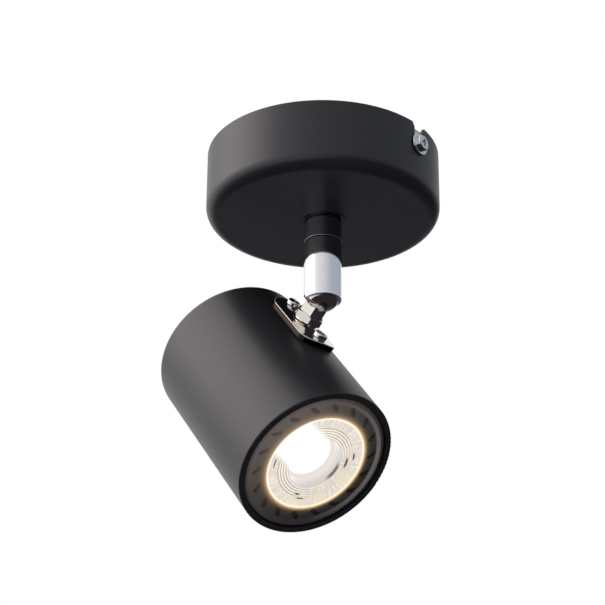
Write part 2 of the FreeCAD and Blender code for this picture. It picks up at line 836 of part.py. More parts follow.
def head_shell():
    """Tube with a closed back and a small lip turned in at the front."""
    rear_bend = head_rear_radius
    inner_bend = max(rear_bend - head_wall, seat_gap)
    shell = lathe([
        (rear, 0),
        (rear, head_radius),
        (front, head_radius),
        (front, head_mouth_radius),
        (front - head_lip_thickness, head_mouth_radius),
        (front - head_lip_thickness, head_inner_radius),
        (rear + head_wall, head_inner_radius),
        (rear + head_wall, 0),
    ])
    shell = fillet_at(shell, rear_bend, lambda edge: is_head_ring(edge, rear, head_radius))
    shell = fillet_at(shell, head_front_radius, lambda edge: is_head_ring(edge, front, head_radius))
    shell = fillet_at(shell, inner_bend, lambda edge: is_head_ring(edge, rear + head_wall, head_inner_radius))
    depth = head_wall + 2 * overrun
    above = down * (saddle_seat - overrun)
    shell = shell.cut(cylinder(stud_radius + run_gap, depth, above, down))
    for x in saddle_screw_places():
        shell = shell.cut(cylinder(saddle_screw_radius + run_gap, depth, above + along * x, down))
    return head_placed(shell)


def is_head_ring(edge, place, radius):
    bounds = edge.BoundBox
    level = abs(bounds.XMin - place) < seat_gap and bounds.XLength < seat_gap
    return level and abs(bounds.YMax - radius) < seat_gap


def holder_bracket():
    """Strip under the shell's top, turned down behind the lamp holder."""
    strip_high = strip_top - head_axis_drop
    back = holder_flange_back
    length = holder_strip_front - back
    half = holder_strip_width / 2
    low = FreeCAD.Vector(back, -half, strip_high - holder_strip_thickness)
    bracket = box(length, holder_strip_width, holder_strip_thickness, low)
    reach = strip_top + holder_flange_reach
    flange_low = FreeCAD.Vector(back, -half, strip_high - reach)
    bracket = bracket.fuse(box(holder_strip_thickness, holder_strip_width, reach, flange_low))
    pad_low = FreeCAD.Vector(back, -holder_pad_width / 2, -head_axis_drop - holder_flange_reach)
    bracket = bracket.fuse(box(holder_strip_thickness, holder_pad_width, 2 * holder_flange_reach, pad_low))
    bracket = bracket.removeSplitter()
    depth = holder_strip_thickness + 2 * overrun
    above = up * (strip_high + overrun)
    bracket = bracket.cut(cylinder(stud_radius + run_gap, depth, above, down))
    for x in saddle_screw_places():
        bracket = bracket.cut(cylinder(saddle_screw_radius + run_gap, depth, above + along * x, down))
    behind = FreeCAD.Vector(back - overrun, 0, -head_axis_drop)
    bracket = bracket.cut(cylinder(holder_lead_hole_radius, depth, behind, along))
    for y in holder_screw_places():
        bracket = bracket.cut(cylinder(holder_screw_radius + run_gap, depth, behind + across * y, along))
    return head_placed(bracket)


def holder_screw_places():
    return [-holder_screw_spacing / 2, holder_screw_spacing / 2]


def inner_nuts():
    """Nuts under the strip on the stud and on both saddle screws."""
    top = strip_top - head_axis_drop - holder_strip_thickness - seat_gap
    nuts = [bevelled_nut(stud_nut_flats, inner_nut_height, up * top, stud_radius + run_gap)]
    for x in saddle_screw_places():
        place = FreeCAD.Vector(x, 0, top)
        nuts.append(bevelled_nut(screw_nut_flats, inner_nut_height, place, saddle_screw_radius + run_gap))
    return head_placed(Part.makeCompound(nuts))


def arc_slot(radius, near, far, turn):
    """Round-ended slot along an arc about the lamp's axis, for one pin at the +Y side."""
    axis_point = down * head_axis_drop
    middle = axis_point + across * (pin_pitch / 2)
    start = cylinder(radius, far - near, middle + along * near, along)
    end = start.copy()
    end.rotate(axis_point, along, turn)
    points = [
        middle + along * near - across * radius,
        middle + along * near + across * radius,
        middle + along * far + across * radius,
        middle + along * far - across * radius,
    ]
    sweep = Part.Face(Part.Wire(outline(points))).revolve(axis_point, along, turn)
    return start.fuse(end).fuse(sweep).removeSplitter()


def pin_cavity():
    """Twist-lock cavity: an entry hole for the pin's cap, a narrow slot at the face, a wide one behind."""
    shelf = holder_face - pin_neck_length() + lamp_seat_gap + pin_play
    bottom = holder_face - pin_length - pin_play
    narrow = arc_slot(pin_neck_radius + pin_play, shelf - overrun, holder_face + overrun, holder_lock_angle)
    wide = arc_slot(pin_cap_radius + pin_play, bottom, shelf, holder_lock_angle)
    middle = FreeCAD.Vector(bottom, pin_pitch / 2, -head_axis_drop)
    entry = cylinder(pin_cap_radius + pin_play, holder_face + overrun - bottom, middle, along)
    entry.rotate(down * head_axis_drop, along, holder_lock_angle)
    return narrow.fuse(wide).fuse(entry).removeSplitter()


def pin_neck_length():
    return pin_length - pin_cap_height


def lamp_holder():
    """Round ceramic holder; its two cavities lock the lamp's pins by a part turn."""
    holder = lathe([
        (holder_back, 0),
        (holder_back, holder_radius),
        (holder_face - holder_chamfer, holder_radius),
        (holder_face, holder_radius - holder_chamfer),
        (holder_face, 0),
    ])
    for turn in (0, 180):
        cavity = pin_cavity()
        cavity.rotate(down * head_axis_drop, along, turn)
        holder = holder.cut(cavity)
    for side in (-1, 1):
        outlet = FreeCAD.Vector(holder_back - overrun, side * holder_lead_offset, -head_axis_drop)
        holder = holder.cut(cylinder(lead_radius + run_gap, overrun + lead_socket(), outlet, along))
    for y in holder_screw_places():
        hole = FreeCAD.Vector(holder_back - overrun, y, -head_axis_drop)
        depth = holder_screw_depth + overrun
        holder = holder.cut(cylinder(holder_screw_radius + run_gap, depth, hole, along))
    return head_placed(holder)


def lead_socket():
    return (holder_length - pin_length) / 2


def holder_screws():
    screws = []
    back = holder_flange_back
    for y in holder_screw_places():
        base = FreeCAD.Vector(back, y, -head_axis_drop)
        shank = cylinder(holder_screw_radius, holder_screw_depth, base, along)
        head = domed_head(holder_screw_head_radius, holder_screw_head_height)
        head.Placement = FreeCAD.Placement(base, FreeCAD.Rotation(up, along * -1))
        screws.append(shank.fuse(head).removeSplitter())
    return head_placed(Part.makeCompound(screws))


def lamp_ring():
    """Front bezel of the lamp: outer bead, a sunk band with slanted vents, inner rim."""
    band = lamp_front - lamp_ring_bead_height
    back = band - lamp_ring_thickness
    axis_level = -head_axis_drop
    bead_middle = lamp_ring_radius - lamp_ring_bead_width / 2
    inner = lens_radius + seat_gap
    rim_top = band + lamp_ring_rim_height
    bead_start = FreeCAD.Vector(band, 0, axis_level + bead_inner_radius)
    bead_crest = FreeCAD.Vector(lamp_front, 0, axis_level + bead_middle)
    bead_end = FreeCAD.Vector(band, 0, axis_level + lamp_ring_radius)
    points = [
        bead_end,
        FreeCAD.Vector(back, 0, axis_level + lamp_ring_radius),
        FreeCAD.Vector(back, 0, axis_level + inner),
        FreeCAD.Vector(rim_top, 0, axis_level + inner),
        FreeCAD.Vector(rim_top, 0, axis_level + inner + lamp_ring_rim_width / 2),
        FreeCAD.Vector(band, 0, axis_level + rim_outer_radius),
        bead_start,
    ]
    edges = Part.makePolygon(points).Edges
    edges.append(Part.Arc(bead_start, bead_crest, bead_end).toShape())
    ring = revolve(edges, FreeCAD.Vector(0, 0, axis_level), along)
    return head_placed(ring.cut(vent_cuts(band)))


def vent_cuts(band):
    """Shallow round-ended slots round the sunk band, each turned from the radius by the slant."""
    middle = rim_outer_radius + vent_band_width / 2
    radial = vent_band_width - vent_width - 2 * vent_edge_gap
    run = radial / math.cos(math.radians(vent_slant))
    floor = FreeCAD.Vector(band - vent_depth, 0, 0)
    depth = vent_depth + overrun
    slot_form = box(depth, vent_width, run, floor - across * (vent_width / 2) - up * (run / 2))
    for end in (-run / 2, run / 2):
        slot_form = slot_form.fuse(cylinder(vent_width / 2, depth, floor + up * end, along))
    slot_form = slot_form.removeSplitter()
    cuts = []
    for place in range(vent_count):
        slot = slot_form.copy()
        slot.rotate(origin, along, vent_slant)
        slot.translate(up * middle)
        slot.rotate(origin, along, vent_turn + 360 * place / vent_count)
        slot.translate(down * head_axis_drop)
        cuts.append(slot)
    return Part.makeCompound(cuts)


def lens():
    """Clear lens: flat face, fine stepped rings and a deep well whose floor lies over the light source."""
    face = lamp_front - lens_rim_height
    ring_outer = lens_lip_radius + lens_ring_count * lens_ring_pitch
    pairs = [(face, lens_radius), (face, ring_outer)]
    for ring in range(lens_ring_count):
        radius = ring_outer - ring * lens_ring_pitch
        pairs.append((face - lens_ring_depth, radius))
        pairs.append((face, radius - lens_ring_pitch))
    well_floor = face - lens_well_depth
    pairs.append((well_floor, lens_well_radius))
    pairs.append((well_floor, 0))
    pairs.append((well_floor - lens_floor, 0))
    pairs.append((well_floor - lens_floor, lens_well_radius + lens_floor))
    pairs.append((face - lens_edge_depth, lens_radius))
    return head_placed(lathe(pairs))


def light_source_front():
    return lamp_front - lens_rim_height - lens_well_depth - lens_floor - seat_gap


def emitter():
    """Yellow-white disc of the light source."""
    front_face = light_source_front()
    back = front_face - emitter_thickness
    disc = [(back, 0), (back, emitter_radius), (front_face, emitter_radius), (front_face, 0)]
    return head_placed(lathe(disc))


def light_board():
    front_face = light_source_front() - emitter_thickness - seat_gap
    back = front_face - board_thickness
    disc = [(back, 0), (back, board_radius), (front_face, board_radius), (front_face, 0)]
    return head_placed(lathe(disc))


def light_board_back():
    """Plane that the lamp body's floor offers to the light board."""
    return light_source_front() - emitter_thickness - board_thickness - 2 * seat_gap


def lamp_body_profile():
    """Outer and inner line of the lamp's cooling body, from the front to its floor."""
    start = lamp_front - lamp_ring_bead_height - lamp_ring_thickness - seat_gap
    band_end = start - lamp_body_front_band
    end = lamp_front - lamp_body_length
    return start, band_end, end


def lamp_body():
    """Cooling body: cup that narrows towards the base, with a floor under the light board."""
    start, band_end, end = lamp_body_profile()
    wall = lamp_body_wall
    board_back = light_board_back()
    seat = board_back - lamp_body_floor
    body = lathe([
        (start, lamp_body_radius - wall),
        (start, lamp_body_radius),
        (band_end, lamp_body_radius),
        (end, lamp_body_rear_radius),
        (end, lamp_base_radius - wall),
        (end + wall, lamp_base_radius - wall),
        (end + wall, lamp_body_rear_radius - wall),
        (seat, lamp_wall_radius(seat) - wall),
        (seat, 0),
        (board_back, 0),
        (board_back, lamp_wall_radius(board_back) - wall),
        (band_end, lamp_body_radius - wall),
    ])
    for fin in range(lamp_fin_count):
        body = body.fuse(lamp_fin(fin))
    return head_placed(body.removeSplitter())


def lamp_wall_radius(place):
    """Outer radius of the cooling body's cone at a place along the axis."""
    start, band_end, end = lamp_body_profile()
    share = (place - end) / (band_end - end)
    return lamp_body_rear_radius + share * (lamp_body_radius - lamp_body_rear_radius)


def lamp_fin(number):
    """One straight rib on the cone."""
    start, band_end, end = lamp_body_profile()
    fin_start = lamp_front - lamp_fin_start
    rise = lamp_fin_height
    sink = lamp_body_wall / 2
    points = [
        FreeCAD.Vector(end, 0, lamp_wall_radius(end) - sink),
        FreeCAD.Vector(end, 0, lamp_wall_radius(end) + rise),
        FreeCAD.Vector(fin_start, 0, lamp_wall_radius(fin_start) + rise),
        FreeCAD.Vector(band_end, 0, lamp_wall_radius(band_end) - sink),
    ]
    fin = Part.Face(Part.Wire(outline(points))).extrude(across * lamp_fin_width)
    fin.translate(across * (-lamp_fin_width / 2))
    fin.rotate(origin, along, 360 * number / lamp_fin_count)
    fin.translate(down * head_axis_drop)
    return fin


def lamp_base_ends():
    return lamp_base_end + lamp_base_length, lamp_base_end


def lamp_base():
    """Insulating base that carries the pins."""
    start, end = lamp_base_ends()
    base = lathe([
        (start, 0),
        (start, lamp_base_radius),
        (end + lamp_base_chamfer, lamp_base_radius),
        (end, lamp_base_radius - lamp_base_chamfer),
        (end, 0),
    ])
    hollow_end = end + lamp_base_end_thickness
    hollow = lathe([
        (start + overrun, 0),
        (start + overrun, lamp_base_radius - lamp_body_wall),
        (hollow_end, lamp_base_radius - lamp_body_wall),
        (hollow_end, 0),
    ])
    return head_placed(base.cut(hollow))


def lamp_pins():
    start, end = lamp_base_ends()
    pins = []
    for side in (-1, 1):
        root = FreeCAD.Vector(end - seat_gap, side * pin_pitch / 2, -head_axis_drop)
        neck = cylinder(pin_neck_radius, pin_length, root, along * -1)
        cap_start = root - along * (pin_length - pin_cap_height)
        cap = cylinder(pin_cap_radius, pin_cap_height, cap_start, along * -1)
        pins.append(neck.fuse(cap).removeSplitter())
    return head_placed(Part.makeCompound(pins))


def driver_board():
    """Small circuit board that stands in the lamp's hollow, behind the floor."""
    start, end = lamp_base_ends()
    level = -head_axis_drop - driver_board_thickness / 2
    low = FreeCAD.Vector(start + lamp_body_wall + seat_gap, -driver_board_width / 2, level)
    length = light_board_back() - lamp_body_floor - driver_board_gap - low.x
    return head_placed(box(length, driver_board_width, driver_board_thickness, low))


def bent_lead(points, radius):
    """Round lead along straight runs joined by tangent arcs of one radius."""
    edges = []
    last = points[0]
    for index in range(1, len(points) - 1):
        corner = points[index]
        back = (points[index - 1] - corner).normalize()
        ahead = (points[index + 1] - corner).normalize()
        half_turn = (math.pi - back.getAngle(ahead)) / 2
        cut = radius * math.tan(half_turn)
        enter = corner + back * cut
        leave = corner + ahead * cut
        inward = (back + ahead).normalize()
        centre = corner + inward * math.hypot(radius, cut)
        middle = centre - inward * radius
        edges.append(Part.LineSegment(last, enter).toShape())
        edges.append(Part.Arc(enter, middle, leave).toShape())
        last = leave
    edges.append(Part.LineSegment(last, points[-1]).toShape())
    section = Part.makeCircle(lead_radius, points[0], points[1] - points[0])
    return Part.Wire(edges).makePipeShell([Part.Wire([section])], True, False)


def supply_leads():
    """Leads from the terminal block, under it and down through the nipple."""
    clamp = pole_screw_spread / 2 + pole_screw_radius + lead_radius
    loop = block_width / 2 + lead_loop_reach
    leads = []
    for side in (-1, 1):
        pole = side * pole_pitch / 2
        offset = side * lead_offset
        points = [
            FreeCAD.Vector(pole, -clamp, sleeve_height()),
            FreeCAD.Vector(pole, -loop, sleeve_height()),
            FreeCAD.Vector(pole, -loop, -lead_run_drop),
            FreeCAD.Vector(offset, 0, -lead_run_drop),
            FreeCAD.Vector(offset, 0, -journal_end_drop),
        ]
        leads.append(bent_lead(points, lead_bend_radius))
    return Part.makeCompound(leads)


def head_leads():
    """Leads from the stud's end, beside the bracket and round behind it into the holder."""
    behind = holder_flange_back - head_lead_rear_gap
    low = head_lead_drop + head_lead_fall
    leads = []
    for side in (-1, 1):
        offset = side * lead_offset
        spread = side * head_lead_spread
        outlet = side * holder_lead_offset
        points = [
            FreeCAD.Vector(0, offset, -stud_end_length),
            FreeCAD.Vector(0, offset, -head_lead_drop),
            FreeCAD.Vector(holder_back + head_lead_fall, spread, -low),
            FreeCAD.Vector(behind, spread, -low - 2 * head_lead_fall),
            FreeCAD.Vector(behind, outlet, -head_axis_drop),
            FreeCAD.Vector(holder_back + lead_socket() / 2, outlet, -head_axis_drop),
        ]
        leads.append(bent_lead(points, head_lead_bend_radius))
    return head_placed(Part.makeCompound(leads))


def export(name, shape):
    solids = shape.Solids
    if not solids:
        raise ValueError(name + " has no solid")
    for solid in solids:
        if not solid.isValid():
            raise ValueError(name + " is not valid")
    whole = solids[0] if len(solids) == 1 else Part.makeCompound(solids)
    whole.exportStep("parts/" + name + ".step")
    print(name, len(solids), round(sum(solid.Volume for solid in solids), 1))


pieces = {
    "canopy": canopy,
    "canopy_side_screws": side_screws,
    "mounting_bracket": mounting_bracket,
    "terminal_block": terminal_block,
    "terminal_sleeves": terminal_sleeves,
    "terminal_screws": terminal_screws,
    "terminal_block_screw": block_screw,
    "earth_washer": earth_washer,
    "earth_screw": earth_screw,
    "hollow_nipple": hollow_nipple,
    "nipple_lock_nut": lock_nut,
    "nipple_lock_washer": lock_washer,
    "cup_washer": cup_washer,
    "stem_collar": stem_collar,
    "friction_washer": friction_washer,
    "retaining_ring": retaining_ring,
    "swivel_barrel": swivel_barrel,
    "stop_pin": stop_pin,
    "seat_spring": seat_spring,
    "ball_seat": ball_seat,
    "ball_stud": ball_stud,
    "saddle_nut": saddle_nut,
    "saddle_washer": saddle_washer,
    "saddle_plate": saddle_plate,
    "saddle_screws": saddle_screws,
    "inner_nuts": inner_nuts,
    "head_shell": head_shell,
    "holder_bracket": holder_bracket,
    "holder_screws": holder_screws,
    "lamp_holder": lamp_holder,
    "lamp_ring": lamp_ring,
    "lamp_lens": lens,
    "lamp_emitter": emitter,
    "lamp_light_board": light_board,
    "lamp_body": lamp_body,
    "lamp_driver_board": driver_board,
    "lamp_base": lamp_base,
    "lamp_pins": lamp_pins,
    "supply_leads": supply_leads,
    "head_leads": head_leads,
}

for piece_name, make in pieces.items():
    export(piece_name, make())
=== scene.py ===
import json
import math
import bmesh
import bpy
from mathutils import Matrix, Vector


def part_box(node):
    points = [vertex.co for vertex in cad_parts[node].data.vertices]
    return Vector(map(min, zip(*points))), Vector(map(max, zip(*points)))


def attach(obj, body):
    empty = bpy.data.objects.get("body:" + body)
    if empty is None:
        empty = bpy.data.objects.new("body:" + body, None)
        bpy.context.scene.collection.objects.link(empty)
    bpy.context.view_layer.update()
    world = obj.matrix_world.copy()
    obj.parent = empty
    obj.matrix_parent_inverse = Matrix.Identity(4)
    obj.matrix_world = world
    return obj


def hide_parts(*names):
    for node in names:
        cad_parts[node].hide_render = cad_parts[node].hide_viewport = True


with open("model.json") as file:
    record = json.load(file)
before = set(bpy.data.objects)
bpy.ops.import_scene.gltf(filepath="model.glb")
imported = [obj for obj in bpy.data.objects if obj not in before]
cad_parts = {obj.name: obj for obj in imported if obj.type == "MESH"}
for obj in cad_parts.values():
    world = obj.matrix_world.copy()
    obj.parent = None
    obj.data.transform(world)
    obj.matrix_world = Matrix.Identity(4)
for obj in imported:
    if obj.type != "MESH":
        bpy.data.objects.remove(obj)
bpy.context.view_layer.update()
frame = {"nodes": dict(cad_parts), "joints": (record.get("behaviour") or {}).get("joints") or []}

nodes = frame["nodes"]
joints = {joint["name"]: joint for joint in frame["joints"]}
print("frame loaded,", len(nodes), "pieces")

mm = 0.001                                   # the light's sizes are in millimetres, the studio's in metres
fullTurn = 2 * math.pi


# Small shader toolkit: a socket that takes Python operators, and one method for every other node
class Wire:
    def __init__(self, tree, socket=None):
        self.tree = tree
        self.socket = socket

    def node(self, kind, settings=None, inputs=None, output=0):
        made = self.tree.nodes.new(kind)
        for key, value in (settings or {}).items():
            if key == "stops":
                setStops(made.color_ramp, value)
            else:
                setattr(made, key, value)
        for key, value in (inputs or {}).items():
            if isinstance(value, Wire):
                self.tree.links.new(value.socket, made.inputs[key])
            else:
                made.inputs[key].default_value = value
        return Wire(self.tree, made.outputs[output] if made.outputs else None)

    def math(self, operation, *others):
        inputs = dict(enumerate((self,) + others))
        return self.node("ShaderNodeMath", {"operation": operation}, inputs)

    def flipped(self, operation, other):
        return self.node("ShaderNodeMath", {"operation": operation}, {0: other, 1: self})

    def __add__(self, other):
        return self.math("ADD", other)

    def __radd__(self, other):
        return self.math("ADD", other)

    def __sub__(self, other):
        return self.math("SUBTRACT", other)

    def __rsub__(self, other):
        return self.flipped("SUBTRACT", other)

    def __mul__(self, other):
        return self.math("MULTIPLY", other)

    def __rmul__(self, other):
        return self.math("MULTIPLY", other)

    def __truediv__(self, other):
        return self.math("DIVIDE", other)

    def __rtruediv__(self, other):
        return self.flipped("DIVIDE", other)

    def __pow__(self, other):
        return self.math("POWER", other)

    def __rpow__(self, other):
        return self.flipped("POWER", other)

    def band(self, low, high):               # 0 below low, 1 above high, smooth between
        ranges = {1: low, 2: high, 3: 0.0, 4: 1.0}
        return self.node("ShaderNodeMapRange", {"interpolation_type": "SMOOTHSTEP"}, {0: self, **ranges})

    def near(self, middle, reach, flatShare=0.35):      # 1 at the middle, 0 from reach away
        return 1 - (self - middle).math("ABSOLUTE").band(reach * flatShare, reach)

    def fading(self, start, half):           # 1 at the start, halved over each further half
        return ((start - self) * (math.log(2) / half)).math("EXPONENT").math("MINIMUM", 1.0)

    def vector(self, operation, other=None, output=0):
        inputs = {0: self} if other is None else {0: self, 1: tuple(other)}
        return self.node("ShaderNodeVectorMath", {"operation": operation}, inputs, output)

    def along(self, direction):              # how far a vector reaches in a direction
        return self.vector("DOT_PRODUCT", direction, 1)

    def length(self):
        return self.vector("LENGTH", None, 1)

    def parts(self):                         # x, y and z of a vector
        first = self.node("ShaderNodeSeparateXYZ", {}, {0: self})
        return [Wire(self.tree, socket) for socket in first.socket.node.outputs]


def setStops(ramp, stops):
    while len(ramp.elements) < len(stops):
        ramp.elements.new(0.5)
    for element, (place, colour) in zip(ramp.elements, stops):
        element.position = place
        element.color = colour


def blendColours(factor, first, second):
    settings = {"data_type": "RGBA", "clamp_factor": True}
    return factor.node("ShaderNodeMix", settings, {0: factor, 6: first, 7: second}, 2)


def rgb(red, green, blue):
    return (red, green, blue, 1.0)


def newMaterial(name):
    material = bpy.data.materials.new(name)
    material.use_nodes = True
    tree = material.node_tree
    tree.nodes.clear()
    return material, Wire(tree).node("ShaderNodeTexCoord", output="Object")


def putOut(shader, kind="ShaderNodeOutputMaterial"):
    shader.node(kind, {}, {"Surface": shader})


def finishMaterial(place, inputs):
    putOut(place.node("ShaderNodeBsdfPrincipled", {}, inputs))


def noise(place, size, detail=2.0, roughness=0.5):
    inputs = {"Vector": place, "Scale": 1 / size, "Detail": detail, "Roughness": roughness}
    return place.node("ShaderNodeTexNoise", {}, inputs)


def cells(place, size):                      # 0 in the middle of each cell
    return place.node("ShaderNodeTexVoronoi", {"feature": "F1"}, {"Vector": place, "Scale": 1 / size})


def stretched(place, factors):
    return place.node("ShaderNodeMapping", {}, {"Vector": place, "Scale": factors})


def bump(place, height, depth):
    return place.node("ShaderNodeBump", {}, {"Height": height, "Strength": 1.0, "Distance": depth})


# Frames of the ball joint and of the lamp, which is turned round its own axis
upAxis = Vector((0, 0, 1))
ballCentre = Vector(joints["head_tilt"]["pos_m"])
studAxis = Vector(joints["head_twist"]["axis"]).normalized()
lampAxis = Vector(joints["lamp_turn"]["axis"]).normalized()
lampOrigin = Vector(joints["lamp_turn"]["pos_m"])
acrossAxis = studAxis.cross(lampAxis).normalized()


def reach(node, origin, direction):          # nearest and farthest place of a node along a direction
    spans = [(vertex.co - origin).dot(direction) for vertex in nodes[node].data.vertices]
    return min(spans), max(spans)


def radiiOf(node, origin, axis):             # least and greatest distance of a node from an axis
    radii = [(vertex.co - origin).cross(axis).length for vertex in nodes[node].data.vertices]
    return min(radii), max(radii)


def lampPlaces(place):                       # depth along the lamp's axis, distance from it, turn about it
    offset = place.vector("SUBTRACT", lampOrigin)
    rise = offset.along(studAxis)
    side = offset.along(acrossAxis)
    distance = (rise * rise + side * side) ** 0.5
    return offset.along(lampAxis), distance, side.math("ARCTAN2", rise)


def facing(turn, angle):                     # 1 at an angle about the lamp, -1 on the far side
    return (turn - math.radians(angle)).math("COSINE")


def aboutAngle(turn, angle, half):           # 1 at an angle about the lamp, 0 from half away
    return turn.near(math.radians(angle), math.radians(half))


# Powder coat of the ceiling cup and the head
def powderCoat(name, facts):
    material, place = newMaterial(name)
    cloud = noise(place, facts["cloudSize"], detail=3.0)
    peel = noise(place, facts["peelSize"], roughness=0.6)
    grain = noise(place, facts["grainSize"], detail=1.0)
    height = peel * facts["peelShare"] + grain * (1 - facts["peelShare"])
    finishMaterial(place, {
        "Base Color": blendColours(cloud, facts["dark"], facts["light"]),
        "Roughness": facts["roughness"] + (grain - 0.5) * facts["roughSpread"],
        "Specular IOR Level": facts["specular"],
        "Normal": bump(place, height, facts["bumpDepth"]),
    })
    return material


cupPaint = {
    "dark": rgb(0.0085, 0.0078, 0.0122), "light": rgb(0.0115, 0.0103, 0.0156),
    "cloudSize": 9 * mm, "peelSize": 0.7 * mm, "grainSize": 0.22 * mm, "peelShare": 0.6,
    "bumpDepth": 0.012 * mm, "roughness": 0.40, "roughSpread": 0.14, "specular": 0.5,
}
headPaint = dict(cupPaint, dark=rgb(0.0100, 0.0092, 0.0118), light=rgb(0.0130, 0.0118, 0.0148))


# Chrome and nickel, with painted shade in the barrel's bore and on its top, and on faces that look up or
# down
def shadedInside(place, facts):                # painted shade in the bore and on the top of the sleeve
    spread = stretched(place, (1.0, 1.0, 0.0)).length()
    bore = 1 - spread.band(*facts["boreBand"])
    top = place.parts()[2].band(*facts["topBand"])
    return bore.math("MAXIMUM", top)


def levelFaceShade(place, facts):                # painted shade on faces and rounded edges that look up or down
    normal = place.node("ShaderNodeNewGeometry", output="Normal")
    return normal.along(upAxis).math("ABSOLUTE").band(*facts["edgeBand"])


def shadedCutEdge(place, facts, tint):             # painted shade on the lower part of the plate's cut side, under its rounded top edge
    low, high = facts["cutSpan"]
    height = (lampPlaces(place)[1] - low) / (high - low)
    edgeShade = blendColours(noise(place, facts["cutGrain"]), facts["cutDark"], facts["cutLight"])
    return blendColours(height.band(*facts["cutBand"]), edgeShade, tint)


def brightPlate(name, facts):
    material, place = newMaterial(name)
    haze = noise(place, facts["hazeSize"], detail=3.0, roughness=0.6)
    polish = noise(stretched(place, facts["polishStretch"]), facts["polishSize"])
    tint = blendColours(haze, facts["dark"], facts["light"])
    # painted shade in the bore and on the top of the barrel
    if "boreBand" in facts:
        tint = blendColours(shadedInside(place, facts), tint, facts["dull"])
    # painted shade on faces that look up or down
    if "edgeBand" in facts:
        tint = blendColours(levelFaceShade(place, facts), tint, facts["dull"])
    # painted shade along the lower part of the plate's cut side
    if "cutBand" in facts:
        tint = shadedCutEdge(place, facts, tint)
    finishMaterial(place, {
        "Base Color": tint, "Metallic": 1.0,
        "Roughness": facts["roughness"] + haze.band(*facts["hazeBand"]) * facts["hazeSpread"],
        "Normal": bump(place, polish, facts["polishDepth"]),
    })
    return material


barrelRadius = radiiOf("swivel_barrel", ballCentre, upAxis)[1]
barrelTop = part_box("swivel_barrel")[1].z
chromePlate = {
    "dark": rgb(0.80, 0.80, 0.82), "light": rgb(0.86, 0.86, 0.88),
    "hazeSize": 3.5 * mm, "hazeBand": (0.45, 0.75), "hazeSpread": 0.06, "roughness": 0.05,
    "polishStretch": (1.0, 1.0, 0.1), "polishSize": 0.2 * mm, "polishDepth": 0.0004 * mm,
}
# the barrel's chrome, with painted shade in its bore and on its top
barrelPlate = dict(
    chromePlate, dull=rgb(0.06, 0.06, 0.065), boreBand=(barrelRadius - 0.9 * mm, barrelRadius - 0.45 * mm),
    topBand=(barrelTop - 0.35 * mm, barrelTop - 0.05 * mm))
# darker chrome of the collar and washer, with painted shade on faces that look up or down
collarPlate = dict(
    chromePlate, dark=rgb(0.55, 0.53, 0.60), light=rgb(0.80, 0.78, 0.84), dull=rgb(0.10, 0.10, 0.11),
    edgeBand=(0.08, 0.5), hazeSize=1.6 * mm, roughness=0.10)
jointPlate = dict(chromePlate, dark=rgb(0.76, 0.71, 0.67), light=rgb(0.84, 0.79, 0.74), roughness=0.07)
# the plate's plating, with painted shade on the lower part of its cut side
saddlePlating = dict(
    jointPlate, cutSpan=radiiOf("saddle_plate", lampOrigin, lampAxis), cutBand=(0.80, 1.02),
    cutGrain=0.5 * mm, cutDark=rgb(0.008, 0.0058, 0.0056), cutLight=rgb(0.022, 0.016, 0.014))
screwPlate = dict(chromePlate, dark=rgb(0.66, 0.67, 0.68), light=rgb(0.76, 0.77, 0.78), roughness=0.14)


# Zinc-plated steel of the bracket and the inner hardware, and drawn spring wire
def zincPlate(name, facts):
    material, place = newMaterial(name)
    cloud = noise(place, facts["cloudSize"], detail=3.0, roughness=0.6)
    spangle = noise(place, facts["spangleSize"], detail=1.0)
    scratch = noise(stretched(place, facts["scratchStretch"]), facts["scratchSize"], roughness=0.7)
    marks = scratch.band(*facts["markBand"])
    colour = blendColours(cloud.band(*facts["cloudBand"]), facts["cool"], facts["warm"])
    rough = facts["roughness"] + (spangle - 0.5) * facts["spangleSpread"] - marks * facts["markPolish"]
    finishMaterial(place, {
        "Base Color": blendColours(marks * facts["markShare"], colour, facts["bright"]),
        "Metallic": 1.0, "Roughness": rough,
        "Normal": bump(place, scratch + spangle * facts["spangleRelief"], facts["bumpDepth"]),
    })
    return material


zincSheet = {
    "cool": rgb(0.66, 0.68, 0.71), "warm": rgb(0.73, 0.72, 0.68), "bright": rgb(0.84, 0.84, 0.84),
    "cloudSize": 6 * mm, "cloudBand": (0.35, 0.7), "spangleSize": 0.8 * mm, "spangleSpread": 0.2,
    "scratchStretch": (1.0, 0.06, 1.0), "scratchSize": 0.12 * mm, "markBand": (0.62, 0.72),
    "markShare": 0.5, "markPolish": 0.08, "spangleRelief": 0.5, "bumpDepth": 0.002 * mm,
    "roughness": 0.3,
}
drawnWire = dict(zincSheet, cool=rgb(0.36, 0.37, 0.39), warm=rgb(0.42, 0.40, 0.37), roughness=0.33)


# Turned brass of the terminals and the lamp's pins
def brassFinish(name, facts):
    material, place = newMaterial(name)
    tarnish = noise(place, facts["tarnishSize"], detail=4.0, roughness=0.65).band(*facts["tarnishBand"])
    finishMaterial(place, {
        "Base Color": blendColours(tarnish, facts["clean"], facts["dull"]), "Metallic": 1.0,
        "Roughness": facts["roughness"] + tarnish * facts["tarnishSpread"],
        "Normal": bump(place, noise(place, facts["markSize"]), facts["bumpDepth"]),
    })
    return material


plainBrass = {
    "clean": rgb(0.78, 0.60, 0.30), "dull": rgb(0.52, 0.38, 0.19), "tarnishSize": 2.5 * mm,
    "tarnishBand": (0.4, 0.75), "tarnishSpread": 0.16, "markSize": 0.2 * mm, "bumpDepth": 0.002 * mm,
    "roughness": 0.26,
}


